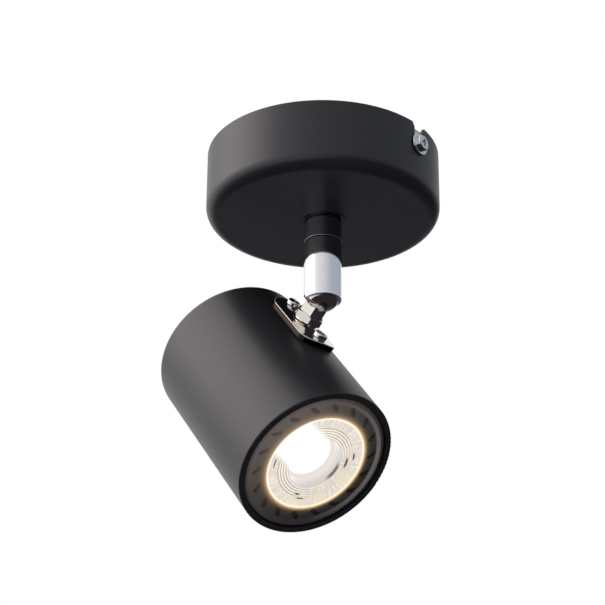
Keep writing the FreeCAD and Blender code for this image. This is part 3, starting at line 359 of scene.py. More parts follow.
# Moulded and fired parts: nylon, steatite, the lamp's body and the boards
def mouldedPlastic(name, facts):
    material, place = newMaterial(name)
    flow = noise(place, facts["flowSize"], detail=3.0)
    grain = noise(place, facts["grainSize"], roughness=0.6)
    specks = grain.band(*facts["speckBand"]) * facts["speckShare"]
    colour = blendColours(flow, facts["dark"], facts["light"])
    finishMaterial(place, {
        "Base Color": blendColours(specks, colour, facts["speck"]),
        "Roughness": facts["roughness"] + (grain - 0.5) * facts["roughSpread"],
        "Subsurface Weight": facts["glow"], "Subsurface Radius": facts["glowRadius"],
        "Subsurface Scale": facts["glowDepth"],
        "Normal": bump(place, grain, facts["bumpDepth"]),
    })
    return material


nylon = {
    "dark": rgb(0.74, 0.72, 0.65), "light": rgb(0.82, 0.80, 0.74), "speck": rgb(0.6, 0.58, 0.5),
    "speckShare": 0.25, "speckBand": (0.66, 0.74), "flowSize": 5 * mm, "grainSize": 0.3 * mm,
    "bumpDepth": 0.006 * mm, "roughness": 0.42, "roughSpread": 0.15,
    "glow": 0.15, "glowRadius": (1.0, 0.8, 0.6), "glowDepth": 0.5 * mm,
}
steatite = dict(
    nylon, dark=rgb(0.72, 0.68, 0.58), light=rgb(0.80, 0.77, 0.69), speck=rgb(0.42, 0.36, 0.28),
    speckShare=0.5, grainSize=0.22 * mm, bumpDepth=0.015 * mm, roughness=0.62, glow=0.0)
greyPlastic = dict(
    nylon, dark=rgb(0.034, 0.032, 0.029), light=rgb(0.046, 0.043, 0.039), speck=rgb(0.07, 0.066, 0.06),
    speckShare=0.4, bumpDepth=0.01 * mm, roughness=0.46, glow=0.0)
whiteMask = dict(
    nylon, dark=rgb(0.72, 0.73, 0.71), light=rgb(0.8, 0.81, 0.79), roughness=0.3, glow=0.0)
greenMask = dict(
    nylon, dark=rgb(0.012, 0.09, 0.035), light=rgb(0.02, 0.14, 0.05), speck=rgb(0.3, 0.28, 0.12),
    roughness=0.3, glow=0.0)


# Braided sleeve of the leads
def sleeveFinish(name, facts):
    material, place = newMaterial(name)
    dust = noise(place, facts["dustSize"], detail=3.0)
    braid = cells(place, facts["braidSize"])
    between = braid.band(*facts["braidBand"]) * facts["braidShare"]
    colour = blendColours(dust, facts["dark"], facts["light"])
    finishMaterial(place, {
        "Base Color": blendColours(between, colour, facts["shade"]),
        "Roughness": facts["roughness"] + dust * facts["dustSpread"], "Sheen Weight": facts["sheen"],
        "Normal": bump(place, 1 - braid, facts["bumpDepth"]),
    })
    return material


leadSleeve = {
    "dark": rgb(0.66, 0.65, 0.61), "light": rgb(0.78, 0.77, 0.73), "shade": rgb(0.5, 0.48, 0.44),
    "dustSize": 4 * mm, "dustSpread": 0.16, "braidSize": 0.28 * mm, "braidBand": (0.3, 0.7),
    "braidShare": 0.3, "bumpDepth": 0.03 * mm, "roughness": 0.52, "sheen": 0.1,
}


# Bezel ring of the lamp: dark plastic with painted shade in its vents, and a painted glow of the lamp's
# light at its edge, on its bead and on one side
lampFace = reach("lamp_lens", lampOrigin, lampAxis)[1]      # plane of the lens, from the lamp's origin
lensRadius = radiiOf("lamp_lens", lampOrigin, lampAxis)[1]


def lampRingFinish(name, facts):
    material, place = newMaterial(name)
    flow = noise(place, facts["flowSize"], detail=3.0)
    grain = noise(place, facts["grainSize"], roughness=0.6)
    depth, distance, turn = lampPlaces(place)
    # vent mask, for painted shade in the vents and a dimmer glow there
    vent = 1 - depth.band(*facts["ventBand"])
    # painted glow of light spilt from the lens on one side, dimmer in the vents
    towards = facing(turn, facts["spillAngle"]) * 0.5 + 0.5
    spilt = towards * towards * (1 - distance.band(*facts["spillEnd"]) * facts["spillFall"])
    spilt = spilt * (1 - vent * facts["ventDim"])
    # painted highlight on the bead, on one side
    beadLit = distance.near(facts["beadMiddle"], facts["beadWidth"]) * facing(turn, facts["beadAngle"])
    # painted glow at the inner edge, next to the lens
    edge = distance.fading(facts["glowStart"], facts["glowHalf"]) * (1 - towards * facts["glowFall"])
    lit = blendColours(spilt, rgb(0, 0, 0), facts["spillGlow"])
    lit = blendColours(beadLit * (1 - vent) * facts["beadShare"], lit, facts["beadGlow"])
    lit = blendColours(edge, lit, facts["edgeGlow"])
    plain = blendColours(flow, facts["dark"], facts["light"])
    finishMaterial(place, {
        # painted shade in the vents
        "Base Color": blendColours(vent * facts["ventShade"], plain, facts["ventColour"]),
        "Roughness": facts["roughness"] + (grain - 0.5) * facts["roughSpread"],
        "Emission Color": lit, "Emission Strength": 1.0,
        "Normal": bump(place, grain, facts["bumpDepth"]),
    })
    return material


lampRing = {
    "dark": rgb(0.027, 0.025, 0.024), "light": rgb(0.038, 0.035, 0.034), "flowSize": 5 * mm,
    "grainSize": 0.3 * mm, "bumpDepth": 0.01 * mm, "roughness": 0.46, "roughSpread": 0.15,
    # painted glow: at the lens edge, spilt on one side, and on the bead
    "glowStart": lensRadius + 0.05 * mm, "glowHalf": 0.42 * mm, "glowFall": 0.45,
    "edgeGlow": rgb(1.05, 0.70, 0.36), "spillAngle": -65.0, "spillEnd": (23.6 * mm, 24.7 * mm),
    "spillFall": 0.4, "spillGlow": rgb(0.098, 0.082, 0.071),
    "beadMiddle": 22.9 * mm, "beadWidth": 0.9 * mm, "beadAngle": 65.0, "beadShare": 0.8,
    "beadGlow": rgb(0.115, 0.115, 0.110), "ventBand": (lampFace - 0.95 * mm, lampFace - 0.3 * mm),
    "ventDim": 0.45, "ventShade": 0.75, "ventColour": rgb(0.024, 0.020, 0.018),
}


# Lens moulding: its sizes first, then the glow that its surface shows
lensFacts = {
    "name": "lensMoulding", "node": "lamp_lens", "body": "lamp", "slot": "lamp_lens", "finish": "lensGlow",
    "wellRadius": 9.3 * mm, "wellDepth": 5.6 * mm, "floorFlat": 0.6 * mm, "floorRound": 0.5 * mm,
    "floorSteps": 5, "wallTop": 1.2 * mm, "lipRound": 0.35 * mm, "lipInset": 0.37 * mm,
    "lipSteps": 4, "lipRadius": 9.75 * mm,
    "ringPitch": 0.93 * mm, "ringCount": 4, "ringDepth": 0.3 * mm,
    "ringShares": [(0.0, 0.0), (0.22, 0.05), (0.5, 0.38), (0.86, 1.0), (0.94, 0.9)],
    "pebbleStart": 13.55 * mm, "pebbleEnd": 16.75 * mm, "pebbleRows": 4, "pebbleCount": 112,
    "pebbleSteps": 5, "pebbleHeight": 0.13 * mm, "rowMargin": 0.01, "faceMargin": 0.001 * mm,
    "rimRadius": 17.15 * mm, "rimHeight": 0.26 * mm, "rimSteps": 8, "edgeDepth": 3.4 * mm,
    "floorThickness": 0.9 * mm, "sharpFrom": 40,
}
ringEnd = lensFacts["lipRadius"] + lensFacts["ringCount"] * lensFacts["ringPitch"]


def lensFace(place, turn, streak, facts):    # cream with radial streaks and a golden side
    drift = noise(place, facts["driftSize"])
    face = blendColours(drift.band(*facts["driftBand"]), facts["cream"], facts["warm"])
    face = blendColours(streak.band(*facts["streakBand"]) * facts["streakShare"], face, facts["spark"])
    face = blendColours((1 - streak).band(*facts["gapBand"]) * facts["streakGap"], face, facts["gap"])
    golden = facing(turn, facts["goldAngle"]).band(*facts["goldBand"]) * drift.band(*facts["goldDrift"])
    return blendColours(golden * facts["goldShare"], face, facts["gold"])


def lensRings(face, distance, turn, facts):  # fine rings, clearer in two fans, with painted shade in their lines and painted highlight on their crests
    step = ((distance - facts["lipRadius"]) / facts["ringPitch"]).math("FRACT")
    started = distance.band(facts["lipRadius"] - facts["blur"], facts["lipRadius"])
    inRings = started * (1 - distance.band(ringEnd, ringEnd + facts["blur"]))
    first, second = [aboutAngle(turn, angle, facts["fanReach"]) for angle in facts["fanAngles"]]
    fans = (first + second).math("MINIMUM", 1.0)
    shown = inRings * (fans * facts["fanShare"] + (1 - facts["fanShare"]))
    face = blendColours(step.near(*facts["linePlace"]) * shown * facts["lineShare"], face, facts["line"])
    return blendColours(step.near(*facts["crestPlace"]) * shown * facts["crestShare"], face, facts["crest"])


# painted shade between the small domes and painted glints on their tops
def lensPebbles(face, distance, turn, fleck, facts):
    start, end = facts["pebbleStart"], facts["pebbleEnd"]
    row = (distance - start) / ((end - start) / facts["pebbleRows"])
    cell = turn * (facts["pebbleCount"] / fullTurn) + row.math("FLOOR") * 0.5
    dome = (row.math("FRACT") * math.pi).math("SINE") * (cell.math("FRACT") * math.pi).math("SINE")
    inRows = distance.band(ringEnd, start) * (1 - distance.band(end, end + facts["blur"]))
    gaps = (1 - dome.band(*facts["domeLow"])) * inRows * facts["gapShare"] * fleck.band(*facts["fleckGaps"])
    sparks = dome.band(*facts["domeHigh"]) * fleck.band(*facts["fleckSparks"]) * inRows * facts["sparkShare"]
    return blendColours(sparks, blendColours(gaps, face, facts["gap"]), facts["spark"])


def lensRefractionDashes(face, distance, turn, facts):  # short dark dashes, painted refractions of the lamp's housing: distance, angle, half turn, half width
    for radius, angle, halfTurn, halfWidth in facts["dashes"]:
        darkShare = distance.near(radius, halfWidth) * aboutAngle(turn, angle, halfTurn)
        face = blendColours(darkShare, face, facts["dash"])
    return face


def lensFlare(distance, turn, facts):        # the broad white field on one side
    glare = turn - math.radians(facts["glareAngle"])
    outward = (glare.math("COSINE") * distance).band(*facts["glareStart"])
    aside = (glare.math("SINE") * distance - facts["glareAside"]).math("ABSOLUTE").band(*facts["glareEdge"])
    return outward * (1 - aside)


def lensWall(depth, turn, streak, facts):    # wall of the well, with painted shade under its lip
    height = depth.band(lampFace - facts["wellDepth"] + facts["wallFoot"], lampFace - facts["wallHead"])
    wall = blendColours(height, facts["wallLow"], facts["wallHigh"])
    wall = blendColours(streak.band(*facts["wallStreak"]) * facts["wallShare"], wall, facts["cream"])
    # painted shade just under the lip, on one side
    start = lampFace - facts["lipMarkDepth"]
    darkShare = depth.band(start, start + facts["lipMarkBlur"])
    darkShare = darkShare * aboutAngle(turn, facts["lipMarkAngle"], facts["lipMarkTurn"])
    return blendColours(darkShare * facts["lipMarkShare"], wall, facts["dash"])


def lensFinish(name, facts):
    material, place = newMaterial(name)
    depth, distance, turn = lampPlaces(place)
    fleck = noise(place, facts["fleckSize"], detail=1.0)
    spoke = {0: turn * facts["spokeCount"], 1: distance * facts["spokeRows"]}
    streak = noise(place.node("ShaderNodeCombineXYZ", {}, spoke), 1.0)
    front = lensFace(place, turn, streak, facts)
    front = lensRings(front, distance, turn, facts)
    front = lensPebbles(front, distance, turn, fleck, facts)
    rim = distance.band(facts["pebbleEnd"] - facts["blur"], facts["rimRadius"] - facts["blur"])
    front = blendColours(rim, front, facts["rim"])
    outer = distance.band(lensRadius - facts["fringeWidth"], lensRadius)
    front = blendColours(outer, front, facts["fringe"])
    # painted refractions: short dark dashes on the glowing face
    front = lensRefractionDashes(front, distance, turn, facts)
    flare = lensFlare(distance, turn, facts)
    front = blendColours(flare * (1 - rim * facts["rimShade"]), front, facts["white"])
    onFloor = 1 - distance.band(*facts["floorEdge"])
    wall = lensWall(depth, turn, streak, facts)
    well = blendColours(onFloor.math("MAXIMUM", flare), wall, facts["white"])
    inWell = 1 - distance.band(facts["wellRadius"] + facts["wellMargin"], facts["lipRadius"])
    finishMaterial(place, {
        "Base Color": facts["base"], "Roughness": facts["roughness"] + fleck * facts["fleckSpread"],
        "Specular IOR Level": facts["specular"],
        "Emission Color": blendColours(inWell, front, well), "Emission Strength": 1.0,
    })
    return material


lensLook = dict(
    lensFacts, base=rgb(0.06, 0.058, 0.055), roughness=0.16, specular=0.35, blur=0.1 * mm,
    cream=rgb(0.72, 0.66, 0.59), warm=rgb(0.79, 0.71, 0.60), driftSize=4 * mm, driftBand=(0.35, 0.65),
    spokeCount=22.0, spokeRows=220.0, streakBand=(0.52, 0.72), streakShare=0.7, gapBand=(0.52, 0.75),
    streakGap=0.5, gap=rgb(0.60, 0.52, 0.44), spark=rgb(1.0, 0.96, 0.90),
    gold=rgb(0.80, 0.70, 0.47), goldAngle=130.0, goldShare=0.6, goldBand=(0.25, 0.95),
    goldDrift=(0.4, 0.6),
    line=rgb(0.27, 0.22, 0.18), linePlace=(0.86, 0.24), lineShare=0.85,
    crest=rgb(0.93, 0.89, 0.83), crestPlace=(0.3, 0.26), crestShare=0.8,
    fanAngles=(-15.0, -130.0), fanReach=75.0, fanShare=0.65,
    fleckSize=0.9 * mm, fleckSpread=0.1, fleckGaps=(0.35, 0.6), fleckSparks=(0.5, 0.62),
    domeLow=(0.05, 0.45), domeHigh=(0.55, 0.95), gapShare=0.35, sparkShare=0.8,
    rim=rgb(1.0, 0.95, 0.83), rimShade=0.6, fringe=rgb(1.0, 0.74, 0.42), fringeWidth=0.22 * mm,
    white=rgb(1.0, 0.998, 0.99), glareAngle=-70.0, glareStart=(2.5 * mm, 7.5 * mm), glareAside=0.9 * mm,
    glareEdge=(6.2 * mm, 8.9 * mm), floorEdge=(7.75 * mm, 8.4 * mm), wellMargin=0.02 * mm,
    wallLow=rgb(0.76, 0.71, 0.67), wallHigh=rgb(0.58, 0.545, 0.53), wallFoot=0.3 * mm, wallHead=0.8 * mm,
    wallStreak=(0.5, 0.75), wallShare=0.35,
    lipMarkDepth=1.5 * mm, lipMarkBlur=0.5 * mm, lipMarkAngle=97.0, lipMarkTurn=27.0, lipMarkShare=0.92,
    dash=rgb(0.10, 0.055, 0.035),
    # painted refractions of the lamp's housing
    dashes=[
        (11.8 * mm, 73.0, 13.0, 0.62 * mm), (14.0 * mm, 63.0, 8.0, 0.5 * mm),
        (12.5 * mm, 176.0, 6.0, 0.42 * mm), (13.9 * mm, 169.0, 8.0, 0.36 * mm),
        (15.2 * mm, -107.0, 9.0, 0.36 * mm),
    ],
)


# The lit source behind the lens
def sourceFinish(name, facts):
    material, place = newMaterial(name)
    cell = cells(place, facts["cellSize"]).band(*facts["cellBand"])
    glow = blendColours(cell, facts["bright"], facts["edge"])
    finishMaterial(place, {
        "Base Color": facts["base"], "Roughness": facts["roughness"],
        "Emission Color": glow, "Emission Strength": facts["strength"],
    })
    return material


phosphor = {
    "base": rgb(0.8, 0.66, 0.3), "bright": rgb(1.0, 0.95, 0.84), "edge": rgb(1.0, 0.90, 0.72),
    "cellSize": 1.2 * mm, "cellBand": (0.2, 0.8), "roughness": 0.3, "strength": 1.5,
}


# Every finish: how it is made, from what, and the pieces of the frame that it covers
finishes = {
    "cupBlack": (powderCoat, cupPaint, ["canopy"]),
    "headBlack": (powderCoat, headPaint, ["head_shell"]),
    "stemChrome": (brightPlate, barrelPlate, ["swivel_barrel"]),
    "collarChrome": (brightPlate, collarPlate, ["stem_collar", "cup_washer"]),
    "jointChrome": (brightPlate, jointPlate, ["ball_stud", "saddle_nut", "saddle_washer"]),
    "plateChrome": (brightPlate, saddlePlating, ["saddle_plate"]),
    "screwNickel": (brightPlate, screwPlate, ["canopy_side_screws", "saddle_screws"]),
    "zincSteel": (zincPlate, zincSheet, [
        "mounting_bracket", "terminal_block_screw", "earth_washer", "earth_screw", "hollow_nipple",
        "nipple_lock_nut", "nipple_lock_washer", "inner_nuts", "holder_bracket", "holder_screws",
        "retaining_ring", "stop_pin", "terminal_screws"]),
    "springSteel": (zincPlate, drawnWire, ["seat_spring"]),
    "terminalBrass": (brassFinish, plainBrass, ["terminal_sleeves", "lamp_pins"]),
    "whiteNylon": (mouldedPlastic, nylon, ["terminal_block", "ball_seat"]),
    "holderCeramic": (mouldedPlastic, steatite, ["lamp_holder"]),
    "siliconeSleeve": (sleeveFinish, leadSleeve, ["supply_leads", "head_leads"]),
    "darkPlastic": (mouldedPlastic, greyPlastic, ["lamp_body", "lamp_base", "friction_washer"]),
    "lampRingPlastic": (lampRingFinish, lampRing, ["lamp_ring"]),
    "lensGlow": (lensFinish, lensLook, ["lamp_lens"]),
    "phosphorCoat": (sourceFinish, phosphor, ["lamp_emitter"]),
    "boardWhite": (mouldedPlastic, whiteMask, ["lamp_light_board"]),
    "boardGreen": (mouldedPlastic, greenMask, ["lamp_driver_board"]),
}
materials = {}
for name, (make, facts, covered) in finishes.items():
    materials[name] = make(name, facts)
    for node in covered:
        for slot in nodes[node].material_slots:
            slot.material = materials[name]
print("finishes made,", len(materials))


# Modelled pieces: turned outlines, finished with cuts and small moves
def addObject(name, data):
    made = bpy.data.objects.new(name, data)
    bpy.context.scene.collection.objects.link(made)
    return made


def meshFrom(name, shape):
    mesh = bpy.data.meshes.new(name)
    shape.to_mesh(mesh)
    shape.free()
    return mesh


def chain(shape, places):                    # vertices joined one after the other
    points = [shape.verts.new(place) for place in places]
    return points + [shape.edges.new(pair) for pair in zip(points, points[1:])]


mergeReach = 0.0004 * mm                     # the doubles of a turned outline lie closer than this


def lathe(pairs, origin, axis, side, steps):     # pairs of place along the axis and radius
    shape = bmesh.new()
    outline = chain(shape, [origin + axis * place + side * radius for place, radius in pairs])
    bmesh.ops.spin(shape, geom=outline, cent=origin, axis=axis, angle=fullTurn, steps=steps, use_merge=True)
    bmesh.ops.remove_doubles(shape, verts=shape.verts, dist=mergeReach)
    bmesh.ops.recalc_face_normals(shape, faces=shape.faces)
    return shape


def smoothed(mesh, sharpFrom):
    for face in mesh.polygons:
        face.use_smooth = True
    mesh.set_sharp_from_angle(angle=math.radians(sharpFrom))
    return mesh


def arcPairs(centre, radius, start, end, steps):  # quarter rounds of an outline, angles from the axis
    angles = [math.radians(start + (end - start) * step / steps) for step in range(steps + 1)]
    return [(centre[0] + radius * math.cos(a), centre[1] + radius * math.sin(a)) for a in angles]


def seatPiece(shape, facts):                 # the finished piece takes the place of its node
    piece = addObject(facts["name"], smoothed(meshFrom(facts["name"], shape), facts["sharpFrom"]))
    piece.data.materials.clear()
    piece.data.materials.append(materials[facts["finish"]])
    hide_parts(facts["node"])
    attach(piece, facts["body"])


def lensPairs(facts):                        # from the middle of the well's floor round to the back
    well, face = facts["wellRadius"], lampFace
    floor = face - facts["wellDepth"]
    pairs = [(floor, 0), (floor, well - facts["floorFlat"])]
    turn = facts["floorRound"]
    pairs += arcPairs((floor + turn, well - turn), turn, 180, 90, facts["floorSteps"])
    pairs += [(face - facts["wallTop"], well)]
    middle = (face - facts["lipRound"], well + facts["lipInset"])
    pairs += arcPairs(middle, facts["lipRound"], 270, 360, facts["lipSteps"])
    for ring in range(facts["ringCount"]):
        inner = facts["lipRadius"] + ring * facts["ringPitch"]
        for share, sink in facts["ringShares"]:
            pairs.append((face - sink * facts["ringDepth"], inner + share * facts["ringPitch"]))
    rows = facts["pebbleRows"] * facts["pebbleSteps"]
    wide = facts["pebbleEnd"] - facts["pebbleStart"]
    pairs += [(face, facts["pebbleStart"] + wide * row / rows) for row in range(rows + 1)]
    rimMiddle = (facts["pebbleEnd"] + lensRadius) / 2
    rimHalf = (lensRadius - facts["pebbleEnd"]) / 2
    for step in range(1, facts["rimSteps"]):
        angle = math.pi * step / facts["rimSteps"]
        pairs.append((face + facts["rimHeight"] * math.sin(angle), rimMiddle - rimHalf * math.cos(angle)))
    back = floor - facts["floorThickness"]
    pairs += [(face, lensRadius), (face - facts["edgeDepth"], lensRadius)]
    return pairs + [(back, well + facts["floorThickness"]), (back, 0)]


def raisePebbles(shape, facts):              # small domes in rows round the annulus
    wide = facts["pebbleEnd"] - facts["pebbleStart"]
    margin, rows = facts["rowMargin"], facts["pebbleRows"]
    for vertex in shape.verts:
        offset = vertex.co - lampOrigin
        place = offset.dot(lampAxis)
        out = offset - lampAxis * place
        row = (out.length - facts["pebbleStart"]) / wide * rows
        if abs(place - lampFace) < facts["faceMargin"] and margin < row < rows - margin:
            turn = math.atan2(out.dot(acrossAxis), out.dot(studAxis))
            cell = turn * facts["pebbleCount"] / fullTurn + 0.5 * math.floor(row)
            rise = abs(math.sin(math.pi * row)) * abs(math.sin(math.pi * cell))
            vertex.co += lampAxis * facts["pebbleHeight"] * rise


def makeLens(facts):
    steps = facts["pebbleCount"] * facts["pebbleSteps"]
    shape = lathe(lensPairs(facts), lampOrigin, lampAxis, studAxis, steps)
    raisePebbles(shape, facts)
    seatPiece(shape, facts)


def crossCutters(facts, top, axis, side):    # two crossed blades that narrow towards the bottom
    cutters = []
    turnAll = Matrix((side, axis.cross(side), axis)).transposed().to_4x4()
    size = (facts["crossSpan"], facts["crossWidth"], 2 * facts["crossDepth"])
    for turn in (0.0, math.pi / 2):
        shape = bmesh.new()
        made = bmesh.ops.create_cube(shape, size=1)["verts"]
        bmesh.ops.scale(shape, verts=made, vec=size)
        low = [vertex for vertex in made if vertex.co.z < 0]
        bmesh.ops.scale(shape, verts=low, vec=facts["crossTaper"])
        spun = Matrix.Rotation(turn + facts["crossTurn"], 3, "Z")
        bmesh.ops.rotate(shape, verts=made, cent=(0, 0, 0), matrix=spun)
        bmesh.ops.transform(shape, verts=made, matrix=Matrix.Translation(top) @ turnAll)
        cutters.append(addObject("crossCutter", meshFrom("crossCutter", shape)))
    return cutters


def cutBy(piece, cutters):
    for cutter in cutters:
        modifier = piece.modifiers.new("cross", "BOOLEAN")
        modifier.object = cutter
        modifier.operation = "DIFFERENCE"
        modifier.solver = "EXACT"
    graph = bpy.context.evaluated_depsgraph_get()
    piece.data = bpy.data.meshes.new_from_object(piece.evaluated_get(graph))
    piece.modifiers.clear()
    for cutter in cutters:
        bpy.data.objects.remove(cutter)


def screwPairs(facts, length):               # from the tip to the crown, the head stands on zero
    root = facts["shankRadius"] - facts["threadDepth"]
    pitch, side, flange = facts["threadPitch"], facts["headRadius"], facts["flangeThickness"]
    pairs = [(-length, 0), (-length, root * facts["tipShare"])]
    for turn in range(int((length - facts["plainShank"]) / pitch)):
        place = -length + (turn + 0.5) * pitch
        pairs += [(place, root), (place + pitch / 2, facts["shankRadius"])]
    pairs += [(-facts["plainShank"], root), (0, root)]
    if flange:
        middle = (flange / 2, facts["flangeRadius"] - flange / 2)
        pairs += arcPairs(middle, flange / 2, 180, 90, facts["flangeSteps"])
        pairs += arcPairs(middle, flange / 2, 90, 0, facts["flangeSteps"])
        pairs += [(flange, side)]
    else:
        chamfer = facts["footChamfer"]
        pairs += [(0, side - chamfer), (chamfer, side)]
    crown = facts["crownShare"] * facts["headHeight"]
    top = flange + facts["headHeight"]
    inner = side - crown
    middle = (top - crown - facts["crownDrop"], inner)
    pairs += arcPairs(middle, crown, 90, facts["crownEnd"], facts["crownSteps"])
    return pairs + [(top - facts["crownSag"], inner * facts["crownFlat"]), (top, 0)]


def makeScrews(facts, length, heads):        # heads: middle of the seat, axis and side of each screw
    parts = bmesh.new()
    for place, axis, side in heads:
        shape = lathe(screwPairs(facts, length), place, axis, side, facts["turnSteps"])
        blank = addObject("screwBlank", meshFrom("screwBlank", shape))
        crown = place + axis * (facts["flangeThickness"] + facts["headHeight"])
        cutBy(blank, crossCutters(facts, crown, axis, side))
        parts.from_mesh(blank.data)
        bpy.data.objects.remove(blank)
    seatPiece(parts, facts)


sideScrewFacts = {
    "name": "sideScrews", "node": "canopy_side_screws", "body": "ceiling_base", "slot": "screw_nickel",
    "finish": "screwNickel", "headRadius": 2.7 * mm, "headHeight": 1.6 * mm, "flangeRadius": 3.95 * mm,
    "flangeThickness": 0.7 * mm, "shankRadius": 2.0 * mm, "threadDepth": 0.28 * mm, "threadPitch": 0.7 * mm,
    "plainShank": 0.4 * mm, "tipShare": 0.75, "footChamfer": 0.1 * mm, "crownShare": 0.45,
    "crownDrop": 0.08 * mm, "crownEnd": 12, "crownSag": 0.03 * mm, "crownFlat": 0.6,
    "flangeSteps": 4, "crownSteps": 6, "turnSteps": 48,
    "crossSpan": 4.3 * mm, "crossWidth": 1.1 * mm, "crossDepth": 1.3 * mm, "crossTurn": 0.0,
    "crossTaper": (0.3, 0.55, 1.0), "sharpFrom": 32,
}
saddleScrewFacts = dict(
    sideScrewFacts, name="saddleScrews", node="saddle_screws", body="head", headRadius=2.4 * mm,
    headHeight=1.9 * mm, flangeRadius=0, flangeThickness=0, shankRadius=1.5 * mm, threadDepth=0.22 * mm,
    threadPitch=0.5 * mm, crossSpan=3.0 * mm, crossWidth=0.75 * mm, crossDepth=1.35 * mm,
    crossTurn=math.radians(35), spacing=21.3 * mm)


def makeSideScrews(facts):
    low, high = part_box(facts["node"])
    seat = high.x - facts["headHeight"] - facts["flangeThickness"]
    tip = min(abs(vertex.co.x) for vertex in nodes[facts["node"]].data.vertices)
    level = (low.z + high.z) / 2
    heads = [(Vector((way * seat, 0, level)), Vector((way, 0, 0)), upAxis) for way in (1, -1)]
    makeScrews(facts, seat - tip, heads)


def makeSaddleScrews(facts):
    tip, crown = reach(facts["node"], ballCentre, studAxis)
    seat = crown - facts["headHeight"]
    middle = ballCentre + studAxis * seat
    heads = [(middle + lampAxis * (way * facts["spacing"] / 2), studAxis, lampAxis) for way in (1, -1)]
    makeScrews(facts, seat - tip, heads)


makeLens(lensFacts)
makeSideScrews(sideScrewFacts)
makeSaddleScrews(saddleScrewFacts)
print("pieces modelled")


# Studio: white around the object, a soft box high at the left, and cards that only reflections see
def onlyInReflections(card):
    card.visible_camera = False
    card.visible_diffuse = False
    card.visible_shadow = False
    card.visible_transmission = False


def emissionOf(place, colour):
    return place.node("ShaderNodeEmission", {}, {"Color": colour, "Strength": 1.0})


def towardsSky(azimuth, rise):               # direction of a compass angle and a height angle, in degrees
    turn, lift = math.radians(azimuth), math.radians(rise)
    return Vector((math.cos(turn) * math.cos(lift), math.sin(turn) * math.cos(lift), math.sin(lift)))


def makeDisc(name, radius, centre, segments=96):
    shape = bmesh.new()
    bmesh.ops.create_circle(shape, cap_ends=True, radius=radius, segments=segments)
    bmesh.ops.translate(shape, verts=shape.verts, vec=centre)
    return addObject(name, meshFrom(name, shape))


floorFacts = {
    "centre": (0, 0, -0.45), "radius": 7.0, "pale": rgb(0.86, 0.86, 0.86), "soft": rgb(0.8, 0.8, 0.8),
    "softShare": 0.2, "fadeBand": (0.5, 2.2), "grainSize": 0.01,
}


def makeFloor(facts):
    floor = makeDisc("studioFloor", facts["radius"], facts["centre"])
    material, place = newMaterial("paleFloor")
    fade = place.length().band(*facts["fadeBand"])
    grain = noise(place, facts["grainSize"], detail=3.0)
    colour = blendColours(grain * facts["softShare"], facts["pale"], facts["soft"])
    pale = place.node("ShaderNodeBsdfDiffuse", {}, {"Color": colour})
    putOut(place.node("ShaderNodeMixShader", {}, {0: fade, 1: pale, 2: emissionOf(place, rgb(1, 1, 1))}))
    floor.data.materials.append(material)


# Dark card under the light, with a paler patch that lifts the underside of the cup
lowCardFacts = {
    "radius": 1.15, "level": -0.27, "azimuth": 74.0, "shift": 0.62, "tone": rgb(0.026, 0.025, 0.030),
    "patch": (-0.33, 0.44, -0.27), "patchBand": (0.15, 0.42), "patchTone": rgb(0.125, 0.118, 0.155),
}


def makeLowCard(facts):
    centre = towardsSky(facts["azimuth"], 0) * facts["shift"] + upAxis * facts["level"]
    card = makeDisc("lowCard", facts["radius"], centre)
    material, place = newMaterial("lowCardBlack")
    away = place.vector("DISTANCE", facts["patch"], 1).band(*facts["patchBand"])
    putOut(emissionOf(place, blendColours(away, facts["patchTone"], facts["tone"])))
    card.data.materials.append(material)
    onlyInReflections(card)


# Tones round the object by azimuth in degrees, and a bright field high at the left
skyFacts = {
    "radius": 1.7, "lowest": -16.0, "highest": 86.0, "riseSteps": 16, "turnSteps": 72,
    "tones": [
        (-180, rgb(0.97, 0.97, 0.97)), (-125, rgb(1.0, 1.0, 1.0)), (-100, rgb(0.97, 0.97, 0.97)),
        (-80, rgb(0.84, 0.845, 0.86)), (-60, rgb(0.76, 0.765, 0.79)), (-40, rgb(0.67, 0.68, 0.71)),
        (-20, rgb(0.56, 0.575, 0.62)), (0, rgb(0.45, 0.485, 0.545)), (25, rgb(0.42, 0.465, 0.535)),
        (55, rgb(0.41, 0.455, 0.53)), (78, rgb(0.38, 0.40, 0.44)), (90, rgb(0.55, 0.56, 0.58)),
        (104, rgb(0.90, 0.90, 0.91)), (125, rgb(0.97, 0.97, 0.97)), (180, rgb(0.97, 0.97, 0.97)),
    ],
    "keyColour": rgb(3.3, 3.08, 3.06), "keyStart": (-185.0, -154.0), "keyEnd": (-127.0, -97.0),
    "keyLow": (-4.0, 26.0), "keyHigh": (58.0, 84.0),
    "lowTone": rgb(0.03, 0.03, 0.035), "lowBand": (-2.0, 16.0), "leftEdge": (-62.0, -32.0),
    "backEdge": (95.0, 125.0),
}


def skyTone(place, facts):
    across, ahead, upward = place.parts()
    azimuth = ahead.math("ARCTAN2", across) * (360 / fullTurn)
    rise = (upward / facts["radius"]).math("ARCSINE") * (360 / fullTurn)
    stops = [((angle + 180) / 360, colour) for angle, colour in facts["tones"]]
    base = place.node("ShaderNodeValToRGB", {"stops": stops}, {0: (azimuth + 180) / 360})
    key = azimuth.band(*facts["keyStart"]) * (1 - azimuth.band(*facts["keyEnd"]))
    key = key * rise.band(*facts["keyLow"]) * (1 - rise.band(*facts["keyHigh"]))
    lifted = rise.band(*facts["lowBand"])    # the lowest band is dark, but for the left and the back
    lifted = lifted.math("MAXIMUM", 1 - azimuth.band(*facts["leftEdge"]))
    lifted = lifted.math("MAXIMUM", azimuth.band(*facts["backEdge"]))
    return blendColours(lifted, facts["lowTone"], blendColours(key, base, facts["keyColour"]))


